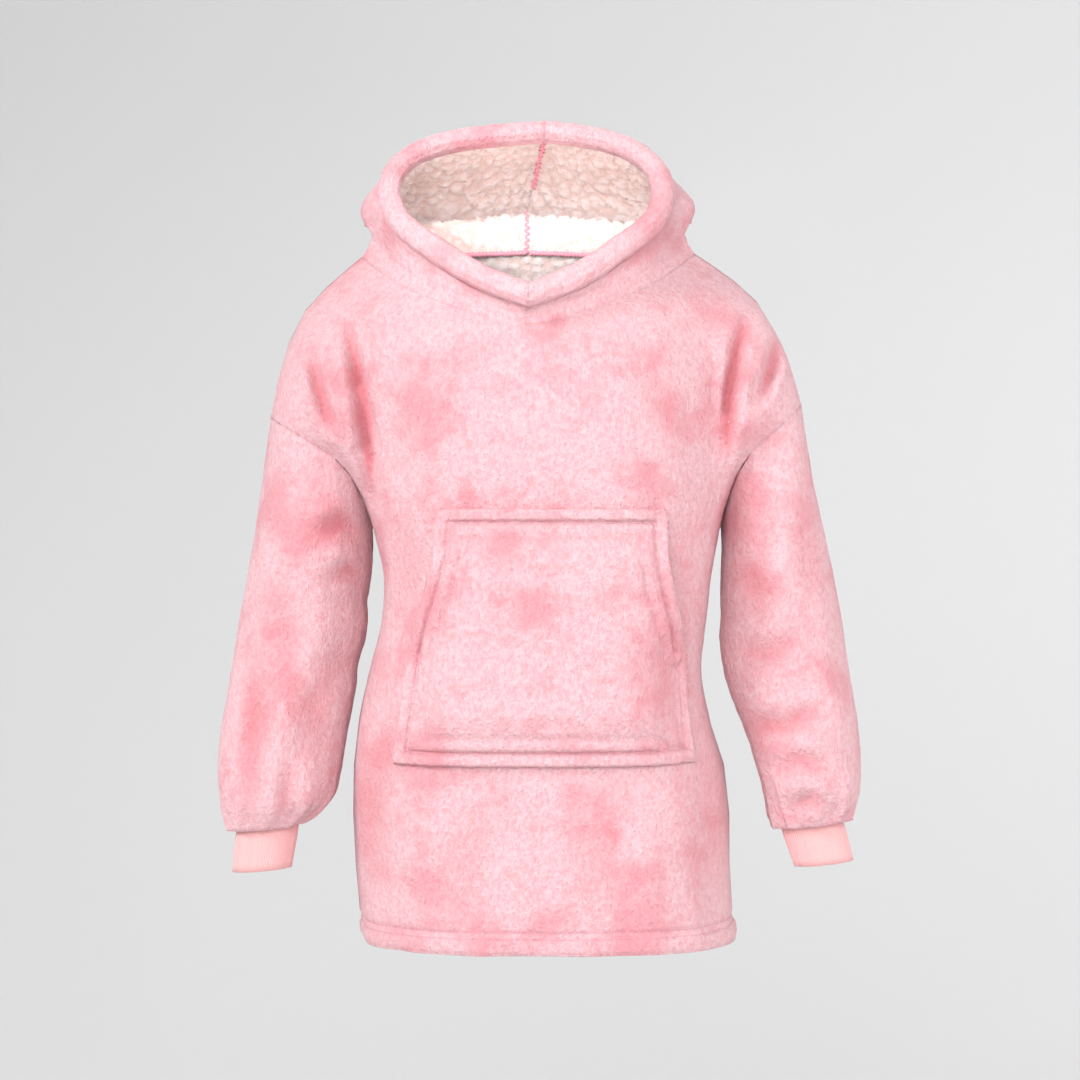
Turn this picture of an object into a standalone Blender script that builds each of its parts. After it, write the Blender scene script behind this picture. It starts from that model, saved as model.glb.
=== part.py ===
"""A wearable blanket hoodie, filled out as when worn.

Metres, +Z up, front towards -Y. The origin is on the middle of the shoulders, where the wearer's
body carries the garment. Every panel starts as a grid of points on the garment's outer face:
rows run upwards and columns run round, so each grid's faces point outwards. Panels share their
seam points, and add_wall() gives them the cloth's thickness and a narrow gap at the seams.
"""

import math

import bpy
import numpy as np
from mathutils import Vector
from mathutils.bvhtree import BVHTree

# Cloth
CLOTH = 0.005  # fleece and sherpa worn as one double cloth
HOOD_SHELL = 0.0035
HOOD_LINING = 0.0050
CUFF_WALL = 0.0028
SEAM_GAP = 0.0005
PINCH = 0.45  # share of the thickness that the cloth loses where it is pinched in the armpit
PINCH_REACH = 0.034
ARMPIT_REACH = 0.090  # how far up the armhole its seam still lies level with the armpit's
LAYER_GAP = 0.0003

SLANT = (0.37, 0.53, 0.76)  # an axis along which no seam runs level

# Grid sizes
LOWER_ROWS = 8  # hem to armpit, above the hem's own rows
UPPER_ROWS = 10  # armpit to shoulder
ARM_COLUMNS = 6  # seam to front fold, on each side
CHEST_COLUMNS = 8  # front fold to centre, on each side
SLEEVE_ROWS = 14
HOOD_ROWS = 10
BAND_SIDES = 10

# Hem
HEM_ROWS = (0.0, 0.005, 0.017, 0.0225, 0.030)  # heights above the hem's edge
HEM_RELIEF = (-0.0012, 0.0018, 0.0016, -0.0016, 0.0)
HEM_HEIGHT = -0.806

# The torso below the armholes, as level rings
TORSO = (
    # height, centre x, half width, front y, back y
    (HEM_HEIGHT, 0.0110, 0.2240, -0.168, 0.148),
    (-0.7650, 0.0060, 0.2230, -0.171, 0.150),
    (-0.6500, 0.0010, 0.2250, -0.175, 0.152),
    (-0.5900, -0.0020, 0.2200, -0.177, 0.152),
    (-0.5050, -0.0090, 0.1990, -0.177, 0.150),
    (-0.4400, 0.0040, 0.1930, -0.176, 0.150),
    (-0.3800, 0.0095, 0.1935, -0.177, 0.151),
)
TORSO_ROUNDNESS = 2.7
RING_ANGLES = (0.0, 10.0, 24.0, 52.0, 90.0)  # from the side seam to the centre

# The yoke from the armpit up. x is the distance from the row's own centre line.
# Columns: centre x, then seam, arm, fold and chest points, then the centre's y and z
YOKE_FRONT = (
    (0.0075, (0.2075, 0.000, -0.315), (0.2060, -0.046, -0.311), (0.1940, -0.088, -0.304),
     (0.1350, -0.150, -0.293), (-0.178, -0.287)),
    (0.0020, (0.2330, -0.070, -0.247), (0.2240, -0.100, -0.226), (0.1990, -0.102, -0.212),
     (0.1380, -0.152, -0.200), (-0.178, -0.194)),
    (-0.0080, (0.2890, -0.080, -0.201), (0.2590, -0.103, -0.160), (0.2080, -0.099, -0.128),
     (0.1380, -0.142, -0.122), (-0.170, -0.126)),
    (-0.0130, (0.3130, -0.043, -0.183), (0.2810, -0.062, -0.100), (0.2110, -0.062, -0.052),
     (0.1370, -0.122, -0.076), (-0.159, -0.098)),
    (-0.0165, (0.3150, 0.000, -0.179), (0.2700, 0.000, -0.052), (0.1990, 0.000, 0.008),
     (0.1330, -0.104, -0.044), (-0.150, -0.088)),
)
YOKE_BACK = (
    (0.0075, (0.2075, 0.000, -0.315), (0.2070, 0.044, -0.311), (0.1960, 0.082, -0.304),
     (0.1350, 0.134, -0.293), (0.152, -0.287)),
    (0.0020, (0.2330, 0.070, -0.247), (0.2250, 0.093, -0.226), (0.2020, 0.101, -0.210),
     (0.1380, 0.140, -0.196), (0.155, -0.188)),
    (-0.0080, (0.2880, 0.080, -0.203), (0.2600, 0.101, -0.160), (0.2110, 0.105, -0.124),
     (0.1380, 0.140, -0.105), (0.153, -0.098)),
    (-0.0130, (0.3130, 0.043, -0.184), (0.2820, 0.065, -0.100), (0.2140, 0.074, -0.044),
     (0.1330, 0.128, -0.024), (0.144, -0.018)),
    (-0.0165, (0.3150, 0.000, -0.179), (0.2700, 0.000, -0.052), (0.1990, 0.000, 0.008),
     (0.1200, 0.102, 0.020), (0.132, 0.026)),
)
YOKE_STEPS = (0.0, 0.24, 0.50, 0.78, 1.0)
SHOULDER_LEAN = 0.008  # the shoulder on the left of the picture hangs this much lower
SHOULDER_DRIFT = 0.009  # and both shoulders' ends lie this much further to the right
SHOULDER_REACH = 0.312
ARMPIT_HEIGHT = -0.315
LEAN_RISE = 0.12  # the lean grows over this height above the armpit
CORNER_START = 0.6  # share of the yoke's height above which its rows turn a corner at the neck

# Drape of the lower body: ripples that fade out upwards
DRAPE_DEPTH = 0.0045
DRAPE_WAVE = 0.063  # width of one ripple
DRAPE_PHASE = {"front": 0.6, "back": 2.1}
DRAPE_FADE = 0.34  # height above the hem at which the ripples are gone

# Folds pressed into the panels: x, z at each end, half width, depth, and the side they are on
FOLD_END = 0.12  # how far into its fade a fold begins and ends, as a share of half a wave
PANEL_FOLDS = (
    (-0.200, -0.105, -0.199, -0.260, 0.011, 0.008, "front"),
    (0.205, -0.105, 0.208, -0.260, 0.011, 0.008, "front"),
    (-0.262, -0.130, -0.238, -0.205, 0.010, 0.006, "front"),
    (0.272, -0.110, 0.247, -0.180, 0.010, 0.007, "front"),
    (-0.190, -0.600, -0.203, -0.790, 0.016, 0.005, "front"),
    (0.188, -0.590, 0.200, -0.790, 0.016, 0.006, "front"),
    (-0.205, -0.115, -0.200, -0.270, 0.013, 0.006, "back"),
    (0.210, -0.110, 0.208, -0.265, 0.013, 0.006, "back"),
    (-0.120, -0.110, -0.165, -0.400, 0.020, 0.005, "back"),
    (0.115, -0.105, 0.160, -0.420, 0.020, 0.005, "back"),
    (-0.060, -0.480, -0.085, -0.780, 0.022, 0.005, "back"),
    (0.075, -0.450, 0.100, -0.780, 0.022, 0.005, "back"),
)

# Sleeves below the armhole: the inner and outer points of each ring, its y and its half depth
SLEEVES = {
    "left": (
        # inner x, inner z, outer x, outer z, centre y, half depth
        (-0.1985, -0.345, -0.3330, -0.262, 0.000, 0.082),
        (-0.2020, -0.395, -0.3435, -0.336, -0.004, 0.083),
        (-0.2070, -0.450, -0.3610, -0.432, -0.010, 0.080),
        (-0.2165, -0.500, -0.3725, -0.510, -0.020, 0.077),
        (-0.2275, -0.560, -0.3815, -0.572, -0.030, 0.074),
        (-0.2370, -0.615, -0.3815, -0.632, -0.040, 0.068),
        (-0.2480, -0.650, -0.3750, -0.656, -0.044, 0.058),
    ),
    "right": (
        (0.2170, -0.345, 0.3250, -0.262, 0.000, 0.082),
        (0.2150, -0.395, 0.3435, -0.336, -0.004, 0.083),
        (0.2135, -0.450, 0.3620, -0.432, -0.010, 0.080),
        (0.2200, -0.500, 0.3710, -0.500, -0.020, 0.077),
        (0.2350, -0.545, 0.3790, -0.556, -0.030, 0.073),
        (0.2560, -0.602, 0.3802, -0.620, -0.040, 0.066),
        (0.2680, -0.645, 0.3745, -0.646, -0.044, 0.056),
    ),
}
SLEEVE_BLEND = 0.16  # length over which the armhole's own shape fades into the rings
PUFF_REACH = 0.011  # how far the sleeve's end stands out round the cuff
CUFF_GAP = 0.0012  # at the corners of the sleeve's end
PUFF_DROP = 0.001  # the puff hangs this much lower than the sleeve's edge
SLEEVE_END = 0.0085  # the sleeve's edge lies this far below the cuff's own top point
GATHER_DEPTH = 0.0016
GATHER_START = 0.86  # share of the sleeve's length
GATHER_GROWTH = 0.10

# Folds pressed into the sleeves: share of the length, turn (0 inner, 90 front), sizes, depth
SLEEVE_FOLDS = {
    "left": (
        (0.62, 140.0, 0.30, 14.0, 0.006),
        (0.30, 35.0, 0.05, 50.0, 0.007),
        (0.52, 20.0, 0.04, 60.0, 0.006),
        (0.74, 60.0, 0.035, 45.0, 0.005),
        (0.55, 250.0, 0.05, 50.0, 0.006),
    ),
    "right": (
        (0.66, 55.0, 0.035, 60.0, 0.007),
        (0.78, 40.0, 0.030, 50.0, 0.006),
        (0.36, 30.0, 0.05, 45.0, 0.006),
        (0.50, 70.0, 0.035, 40.0, 0.005),
        (0.55, 250.0, 0.05, 50.0, 0.006),
    ),
}

# Cuffs: the centre of the top and bottom rings, and half sizes
CUFFS = {
    "left": {"top": (-0.3205, -0.046, -0.6625), "bottom": (-0.3280, -0.050, -0.7220),
             "rise": -0.085},
    "right": {"top": (0.3185, -0.046, -0.6590), "bottom": (0.3350, -0.050, -0.7145),
              "rise": 0.110},
}
CUFF_HALF_WIDTH = 0.0370
CUFF_HALF_DEPTH = 0.0265
CUFF_TAPER = 0.95
CUFF_STRAIGHT = 0.35  # share of the cuff's length before it narrows
CUFF_TUCK = 0.0045  # the cuff's top stands this far inside the sleeve's end
RIBS = 80
RIB_HEIGHT = 0.0005
CUFF_INNER_SIDES = 40

# Hood edge: the middle of the rolled band, from the front point round to the top
RIM = (
    # share, centre x, half width, y, z
    (0.00, -0.0130, 0.0000, -0.170, -0.056),
    (0.12, -0.0135, 0.0575, -0.152, -0.032),
    (0.25, -0.0150, 0.1025, -0.128, -0.001),
    (0.37, -0.0155, 0.1415, -0.102, 0.030),
    (0.50, -0.0160, 0.1590, -0.074, 0.063),
    (0.62, -0.0165, 0.1575, -0.050, 0.096),
    (0.74, -0.0160, 0.1340, -0.032, 0.124),
    (0.86, -0.0110, 0.0890, -0.018, 0.143),
    (1.00, 0.0060, 0.0000, -0.008, 0.155),
)
BAND_HALF_WIDTH = 0.0155
BAND_HALF_DEPTH = 0.0140
BAND_GAP = 0.0007

# The hood from the neck seam to its edge. Out and up are measured from the neck seam, back and
# up from the middle of the band.
HOOD_MIDDLE = (-0.0147, 0.020, 0.050)  # about the middle of the wearer's head
HOOD_SECTIONS = (
    # share, (out, up) of the stand, the fold, the dip, the bag and the side,
    # (back, up, out) of the crown
    (0.00, (0.001, 0.003), (0.002, 0.006), (0.003, 0.009), (0.0045, 0.012),
     (0.006, 0.0145), (0.0145, -0.0123, 0.000)),
    (0.25, (-0.002, 0.005), (-0.004, 0.010), (-0.005, 0.014), (-0.005, 0.018),
     (-0.004, 0.022), (0.021, -0.015, 0.009)),
    (0.50, (-0.007, 0.010), (-0.012, 0.020), (-0.010, 0.030), (-0.004, 0.039),
     (0.000, 0.052), (0.038, 0.004, 0.009)),
    (0.64, (-0.006, 0.016), (-0.004, 0.030), (0.006, 0.034), (0.022, 0.034),
     (0.036, 0.056), (0.058, 0.010, 0.006)),
    (0.80, (-0.004, 0.021), (0.005, 0.041), (0.020, 0.032), (0.042, 0.022),
     (0.074, 0.056), (0.088, 0.013, 0.002)),
    (1.00, (-0.002, 0.024), (0.009, 0.048), (0.026, 0.032), (0.054, 0.014),
     (0.096, 0.054), (0.118, 0.018, 0.000)),
)

# Kangaroo pocket, seen from the front: the half outlines, bottom to top
POCKET_BOTTOM = -0.5880
POCKET_TOP = -0.3000
POCKET_LEFT = (
    # height, x
    (-0.588, -0.1690), (-0.530, -0.1590), (-0.474, -0.1520), (-0.445, -0.1470),
    (-0.412, -0.1376), (-0.375, -0.1250), (-0.338, -0.1185), (-0.300, -0.1173),
)
POCKET_RIGHT = (
    (-0.588, 0.1790), (-0.530, 0.1705), (-0.474, 0.1670), (-0.445, 0.1640),
    (-0.412, 0.1570), (-0.375, 0.1475), (-0.338, 0.1435), (-0.300, 0.1455),
)
POCKET_MOUTH_LOW = -0.470  # below this the sides are sewn down
POCKET_ROOM = 0.017  # depth of the hand space behind the cloth
POCKET_RISE = 0.045  # width over which that space opens beside a sewn edge
MOUTH_RISE = 0.030
SEWN_EDGE = 0.004
POCKET_CLOTH = 0.0045
POCKET_BORDER = (0.0, 0.0025, 0.0085, 0.0135, 0.0185)
BORDER_RELIEF = (0.0, 0.0030, 0.0034, -0.0012, 0.0004)
POCKET_MIDDLE_COLUMNS = 12
POCKET_MIDDLE_ROWS = 7
POCKET_GAP = 0.0004
CLEARANCE_STEPS = 9

SHARP_ANGLE = 50.0  # degrees between faces above which an edge is drawn sharp

FLEECE = ((0.93, 0.47, 0.53, 1.0), 0.92)
SHERPA = ((0.93, 0.88, 0.87, 1.0), 0.96)
RIB_KNIT = ((0.92, 0.55, 0.56, 1.0), 0.90)


def clear_objects():
    for item in list(bpy.data.objects):
        bpy.data.objects.remove(item, do_unlink=True)


def cloth_material(name, finish):
    """A matt cloth material of its own for one piece."""
    colour, roughness = finish
    material = bpy.data.materials.new(name)
    material.use_nodes = True
    shader = material.node_tree.nodes["Principled BSDF"]
    shader.inputs["Base Color"].default_value = colour
    shader.inputs["Roughness"].default_value = roughness
    shader.inputs["Metallic"].default_value = 0.0
    return material


def ease(value):
    """A soft step from 0 to 1."""
    value = min(max(value, 0.0), 1.0)
    return value * value * (3.0 - 2.0 * value)


def tangents(places, values):
    """Slopes of a smooth curve through values, one for each place."""
    steps = np.diff(places)
    slopes = np.diff(values, axis=0) / steps[:, None]
    inner = (slopes[:-1] * steps[1:, None] + slopes[1:] * steps[:-1, None]) / (
        steps[:-1] + steps[1:]
    )[:, None]
    first = 1.5 * slopes[:1] - 0.5 * (inner[:1] if len(inner) else slopes[:1])
    last = 1.5 * slopes[-1:] - 0.5 * (inner[-1:] if len(inner) else slopes[-1:])
    return np.vstack([first, inner, last])


def hermite(places, values, slopes, place):
    """The point at one place of the curve that the slopes describe."""
    index = int(np.clip(np.searchsorted(places, place) - 1, 0, len(places) - 2))
    width = places[index + 1] - places[index]
    t = (place - places[index]) / width
    return (
        values[index] * (2 * t**3 - 3 * t**2 + 1)
        + slopes[index] * width * (t**3 - 2 * t**2 + t)
        + values[index + 1] * (-2 * t**3 + 3 * t**2)
        + slopes[index + 1] * width * (t**3 - t**2)
    )


def smooth(places, values, place):
    """A smooth curve through rows of values, read at one place."""
    places = np.asarray(places, float)
    values = np.asarray(values, float)
    return hermite(places, values, tangents(places, values), place)


def chord_places(keys):
    lengths = np.linalg.norm(np.diff(keys, axis=0), axis=1)
    return np.concatenate([[0.0], np.cumsum(lengths)])


def key_steps():
    """Where a half row's columns lie among its five key points, from the seam to the centre."""
    arm = np.linspace(0.0, 2.0, ARM_COLUMNS + 1)
    chest = np.linspace(2.0, 4.0, CHEST_COLUMNS + 1)
    return np.concatenate([arm, chest[1:]])


def row_through(keys, closed_ends, corner):
    """A panel's row through nine key points, from one seam round the middle to the other.

    closed_ends are the next key points beyond the seams, where the row goes on round the body.
    corner is 1 where the row is smooth at the folds, and 0 where it turns a corner there.
    """
    places = chord_places(keys)
    slopes = tangents(places, keys)
    if closed_ends is not None:
        before, after = closed_ends
        slopes[0] = (keys[1] - before) / (
            np.linalg.norm(keys[1] - keys[0]) + np.linalg.norm(keys[0] - before)
        )
        slopes[-1] = (after - keys[-2]) / (
            np.linalg.norm(after - keys[-1]) + np.linalg.norm(keys[-1] - keys[-2])
        )
    slopes[2] *= corner
    slopes[6] *= corner
    slopes[4] *= 0.5 + 0.5 * corner
    half = key_steps()
    steps = np.concatenate([half, 8.0 - half[::-1][1:]])
    row = []
    for step in steps:
        index = min(int(step), 7)
        place = places[index] + (step - index) * (places[index + 1] - places[index])
        row.append(hermite(places, keys, slopes, place))
    return np.array(row)


def torso_keys(row, side):
    """A level ring's nine key points on the front or the back, from left to right."""
    height, centre, half_width, front, back = row
    depth = front if side == "front" else back
    half = []
    for angle in RING_ANGLES:
        turn = math.radians(angle)
        across = half_width * math.cos(turn) ** (2.0 / TORSO_ROUNDNESS)
        inwards = depth * math.sin(turn) ** (2.0 / TORSO_ROUNDNESS)
        half.append((across, inwards, height))
    return both_sides(half, centre, 0.0)


def both_sides(half, centre, lean):
    """Nine key points from five that run from the seam to the centre.

    lean is 1 where the shoulders' whole lean and drift to one side apply.
    """
    left = []
    right = []
    for across, depth, height in half:
        share = lean * (across / SHOULDER_REACH) ** 3
        tip = SHOULDER_LEAN * share
        middle = centre + SHOULDER_DRIFT * share
        left.append((middle - across, depth, height - tip))
        right.append((middle + across, depth, height + tip))
    return np.array(left + right[-2::-1])


def yoke_keys(row):
    centre, seam, arm, fold, chest, middle = row
    half = [seam, arm, fold, chest, (0.0, *middle)]
    return both_sides(half, centre, ease((seam[2] - ARMPIT_HEIGHT) / LEAN_RISE))


def keyed(places, keys, place):
    """Key points between rows of key points."""
    flat = np.array([np.asarray(row).reshape(-1) for row in keys])
    return smooth(places, flat, place).reshape(-1, 3)


def panel_grid(side):
    """The front or back panel's outer face, rows from the hem up, columns from left to right.

    Returns the points and each row's relief, which is how far the hem stands out there.
    """
    yoke, other_yoke = (YOKE_FRONT, YOKE_BACK) if side == "front" else (YOKE_BACK, YOKE_FRONT)
    other = "back" if side == "front" else "front"
    heights = [row[0] for row in TORSO] + [ARMPIT_HEIGHT]
    keys = [torso_keys(row, side) for row in TORSO] + [yoke_keys(yoke[0])]
    other_keys = [torso_keys(row, other) for row in TORSO] + [yoke_keys(other_yoke[0])]
    upper_keys = [yoke_keys(row) for row in yoke]
    top_of_hem = HEM_HEIGHT + HEM_ROWS[-1]
    levels = [HEM_HEIGHT + rise for rise in HEM_ROWS]
    levels += list(np.linspace(top_of_hem, ARMPIT_HEIGHT, LOWER_ROWS + 1)[1:])
    rows = []
    for height in levels:
        here = keyed(heights, keys, height)
        there = keyed(heights, other_keys, height)
        rows.append(row_through(here, (there[1], there[-2]), 1.0))
    for step in np.linspace(0.0, 1.0, UPPER_ROWS + 1)[1:]:
        here = keyed(YOKE_STEPS, upper_keys, step)
        corner = ease((step - CORNER_START) / (1.0 - CORNER_START))
        rows.append(row_through(here, None, 1.0 - corner))
    relief = np.zeros(len(rows))
    relief[: len(HEM_RELIEF)] = HEM_RELIEF
    return np.array(rows), relief


def fold_depth(point, side):
    """How far the pressed-in folds and the drape's ripples push a panel's point inwards."""
    x, _, z = point
    depth = 0.0
    for x0, z0, x1, z1, half_width, deepest, fold_side in PANEL_FOLDS:
        if fold_side != side:
            continue
        along = ((x - x0) * (x1 - x0) + (z - z0) * (z1 - z0)) / ((x1 - x0) ** 2 + (z1 - z0) ** 2)
        share = min(max(along, 0.0), 1.0)
        away = math.hypot(x - x0 - share * (x1 - x0), z - z0 - share * (z1 - z0))
        fade = math.sin(math.pi * (FOLD_END + (1.0 - 2.0 * FOLD_END) * share))
        depth += deepest * fade * math.exp(-((away / half_width) ** 2))
    hang = 1.0 - ease((z - HEM_HEIGHT) / DRAPE_FADE)
    ripple = math.cos(2.0 * math.pi * x / DRAPE_WAVE + DRAPE_PHASE[side])
    return depth + DRAPE_DEPTH * hang * 0.5 * (1.0 - ripple)


def grid_normals(grid, around):
    """At each point of a grid, the sum of the normals of the cells that meet there."""
    rows, columns, _ = grid.shape
    sums = np.zeros_like(grid)
    last = columns if around else columns - 1
    for i in range(rows - 1):
        for j in range(last):
            k = (j + 1) % columns
            across = grid[i + 1, k] - grid[i, j]
            down = grid[i + 1, j] - grid[i, k]
            normal = np.cross(across, down)
            for a, b in ((i, j), (i, k), (i + 1, k), (i + 1, j)):
                sums[a, b] += normal
    return sums


def unit(vectors):
    lengths = np.linalg.norm(vectors, axis=-1, keepdims=True)
    return vectors / np.maximum(lengths, 1e-12)


def press_folds(grid, side):
    """Move a panel's points in along their normals by the folds, with the seams left alone."""
    normals = unit(grid_normals(grid, False))
    rows, columns, _ = grid.shape
    for i in range(rows):
        for j in range(1, columns - 1):
            seam_fade = ease(min(j, columns - 1 - j) / 2.0) if i < rows - 1 else 0.0
            grid[i, j] -= normals[i, j] * fold_depth(grid[i, j], side) * seam_fade


def rim_point(share, side):
    """The middle of the hood's edge at a share of the way from the front point to the top."""
    shares = [row[0] for row in RIM]
    centre, half_width, y, z = smooth(shares, [row[1:] for row in RIM], share)
    sign = -1.0 if side == "left" else 1.0
    return np.array([centre + sign * max(half_width, 0.0), y, z])


def rim_frame(share, side):
    """The band's middle, the ways to the hood's cloth and outwards, and the hood's crown point."""
    sign = -1.0 if side == "left" else 1.0
    middle = rim_point(share, side)
    if share in (0.0, 1.0):
        along = np.array([sign if share == 0.0 else -sign, 0.0, 0.0])
    else:
        along = unit(rim_point(share + 0.01, side) - rim_point(share - 0.01, side))
    shares = [row[0] for row in HOOD_SECTIONS]
    back, up, out = smooth(shares, [row[-1] for row in HOOD_SECTIONS], share)
    outward = unit(middle - np.array(HOOD_MIDDLE))
    crown = middle + np.array([0.0, back, up]) + outward * out
    towards = crown - middle
    towards = unit(towards - along * np.dot(towards, along))
    outside = np.cross(along, towards) if side == "left" else np.cross(towards, along)
    return middle, towards, outside, crown


def hood_grid(side, neckline):
    """Half of the hood's outer face: rows from the neck seam to the edge band.

    neckline is the panels' top edge on this side, from the front point to the back's centre.
    """
    count = len(neckline)
    shares = [row[0] for row in HOOD_SECTIONS]
    columns = []
    edge = []
    for index, neck in enumerate(neckline):
        share = index / (count - 1)
        if share in (0.0, 1.0):
            out_way = np.array([0.0, -1.0 if share == 0.0 else 1.0, 0.0])
        else:
            run = neckline[index + 1] - neckline[index - 1]
            out_way = unit(np.array([run[1], -run[0], 0.0]))
            if side == "left":
                out_way = -out_way
        middle, towards, outside, crown = rim_frame(share, side)
        keys = [neck]
        for key in range(1, 6):
            out, up = smooth(shares, [row[key] for row in HOOD_SECTIONS], share)
            keys.append(neck + out_way * out + np.array([0.0, 0.0, up]))
        end = middle + towards * (BAND_HALF_WIDTH + BAND_GAP)
        end = end + outside * (HOOD_SHELL + HOOD_LINING) * 0.5
        keys.append(crown + outside * HOOD_SHELL)
        keys.append(end)
        keys = np.array(keys)
        places = chord_places(keys)
        slopes = tangents(places, keys)
        steps = np.linspace(0.0, places[-1], HOOD_ROWS + 1)
        columns.append([hermite(places, keys, slopes, step) for step in steps])
        edge.append(outside)
    grid = np.array(columns).transpose(1, 0, 2)
    edge = np.array(edge)
    return (grid[:, ::-1], edge[::-1]) if side == "left" else (grid, edge)


def cuff_frame(side):
    cuff = CUFFS[side]
    sign = -1.0 if side == "left" else 1.0
    outward = unit(np.array([sign, 0.0, cuff["rise"]]))
    return np.array(cuff["top"]), np.array(cuff["bottom"]), outward


def turns(count):
    """Angles round a sleeve, from the inner side, by the front, to the outer side and back."""
    return [2.0 * math.pi * index / count for index in range(count)]


def ring_point(middle, across, half_depth, turn):
    """A point of an oval ring: turn 0 is the inner side and a quarter turn is the front."""
    return middle - across * math.cos(turn) + np.array([0.0, -half_depth * math.sin(turn), 0.0])


def sleeve_grid(side, armhole):
    """A sleeve's outer face, rows from the armhole down, columns round from the armpit."""
    count = len(armhole)
    angles = turns(count)
    inner, outer = armhole[0], armhole[count // 2]
    half_depth = 0.5 * (armhole[:, 1].max() - armhole[:, 1].min())
    rows = [(inner[0], inner[2], outer[0], outer[2], 0.0, half_depth)]
    rows += list(SLEEVES[side])
    top, bottom, outward = cuff_frame(side)
    axis = unit(top - bottom)
    for reach, lift in ((PUFF_REACH, -SLEEVE_END - PUFF_DROP), (CUFF_GAP, -SLEEVE_END)):
        middle = top + axis * lift
        a = middle - outward * (CUFF_HALF_WIDTH + reach)
        b = middle + outward * (CUFF_HALF_WIDTH + reach)
        rows.append((a[0], a[2], b[0], b[2], middle[1], CUFF_HALF_DEPTH + reach))
    rows = np.array(rows)
    middles = np.column_stack([rows[:, 0] + rows[:, 2], 2 * rows[:, 4], rows[:, 1] + rows[:, 3]])
    places = chord_places(middles * 0.5)
    places[-1] = places[-2] + PUFF_REACH
    main = np.linspace(0.0, places[-2], SLEEVE_ROWS)
    grid = []
    for place in [*main, places[-1]]:
        ix, iz, ox, oz, y, depth = smooth(places, rows, place)
        middle = np.array([0.5 * (ix + ox), y, 0.5 * (iz + oz)])
        across = np.array([0.5 * (ox - ix), 0.0, 0.5 * (oz - iz)])
        keep = 1.0 - ease(place / SLEEVE_BLEND)
        ring = []
        for index, turn in enumerate(angles):
            point = ring_point(middle, across, depth, turn)
            start = ring_point(
                0.5 * (inner + outer) * np.array([1.0, 0.0, 1.0]),
                0.5 * (outer - inner) * np.array([1.0, 0.0, 1.0]),
                half_depth,
                turn,
            )
            point = point + (armhole[index] - start) * keep
            share = place / places[-2]
            push = sleeve_fold(side, share, math.degrees(turn)) if place else 0.0
            gather = (-1.0) ** index * ease((share - GATHER_START) / GATHER_GROWTH)
            gather *= GATHER_DEPTH
            if place == places[-1]:
                push, gather = 0.0, 0.0
            inwards = unit(middle - point)
            ring.append(point + inwards * (push + gather))
        grid.append(ring)
    grid = np.array(grid)[::-1]
    # Columns run from left to right along the front.
    return grid[:, ::-1] if side == "left" else grid


def sleeve_fold(side, share, angle):
    depth = 0.0
    for at, turn, long, wide, deepest in SLEEVE_FOLDS[side]:
        away = (angle - turn + 180.0) % 360.0 - 180.0
        depth += deepest * math.exp(-(((share - at) / long) ** 2) - (away / wide) ** 2)
    return depth


class Face:
    """The outer face of one cut piece: its points, and which way they wrap and join."""

    def __init__(self, grid, around=False, relief=None, seams=(), edge=None):
        self.grid = grid
        self.around = around
        self.relief = relief
        self.seams = seams
        self.edge = edge
        self.normals = None


def shared_normals(faces, armholes):
    """Give every face unit normals, the same for all pieces at a shared seam point.

    Round the armpit the seam's normals turn downwards and the walls grow thinner.
    """
    sums = {}
    for face in faces:
        found = grid_normals(face.grid, face.around)
        for point, normal in zip(face.grid.reshape(-1, 3), found.reshape(-1, 3)):
            key = tuple(np.round(point, 6))
            sums[key] = sums.get(key, 0.0) + normal
    for ring in armholes:
        for point in ring:
            key = tuple(np.round(point, 6))
            near = math.exp(-((np.linalg.norm(point - ring[0]) / ARMPIT_REACH) ** 2))
            normal = unit(sums[key])
            sums[key] = np.array([normal[0] * (1.0 - near), normal[1], normal[2] - near])
    for face in faces:
        flat = [sums[tuple(np.round(point, 6))] for point in face.grid.reshape(-1, 3)]
        face.normals = unit(np.array(flat)).reshape(face.grid.shape)
        if face.edge is not None:
            face.normals[-1] = face.edge
            face.normals[-2] = unit(face.normals[-2] + face.edge)
        for ring in armholes:
            away = np.linalg.norm(face.grid - ring[0], axis=-1, keepdims=True)
            face.normals *= 1.0 - PINCH * np.exp(-((away / PINCH_REACH) ** 2))


def open_seams(face):
    """Draw a face's seam edges back by half the seam gap."""
    grid = face.grid
    half = 0.5 * SEAM_GAP
    moved = grid.copy()
    if "bottom" in face.seams:
        moved[0] += unit(grid[1] - grid[0]) * half
    if "top" in face.seams:
        moved[-1] += unit(grid[-2] - grid[-1]) * half
    if "sides" in face.seams:
        moved[:, 0] += unit(grid[:, 1] - grid[:, 0]) * half
        moved[:, -1] += unit(grid[:, -2] - grid[:, -1]) * half
    face.grid = moved


def rim(outer, inner, points):
    """Triangles across a wall's edge.

    The diagonal starts at the outer point that is lower along a slanted axis, so that the two
    pieces at a seam are split alike.
    """
    slant = np.array(SLANT)
    faces = []
    for k in range(len(outer) - 1):
        a, b, c, d = outer[k], outer[k + 1], inner[k + 1], inner[k]
        if np.dot(points[a], slant) < np.dot(points[b], slant):
            faces += [(a, b, c), (a, c, d)]
        else:
            faces += [(a, b, d), (b, c, d)]
    return faces


def cells(low, high, corners, turned):
    """Two triangles for each cell between two rows, split along the shorter diagonal of corners."""
    faces = []
    for k in range(len(low) - 1):
        a, b, c, d = low[k], low[k + 1], high[k + 1], high[k]
        rising = np.linalg.norm(corners[1][k + 1] - corners[0][k])
        falling = np.linalg.norm(corners[1][k] - corners[0][k + 1])
        pair = [(a, b, c), (a, c, d)] if rising <= falling else [(a, b, d), (b, c, d)]
        faces += [face[::-1] for face in pair] if turned else pair
    return faces


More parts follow.
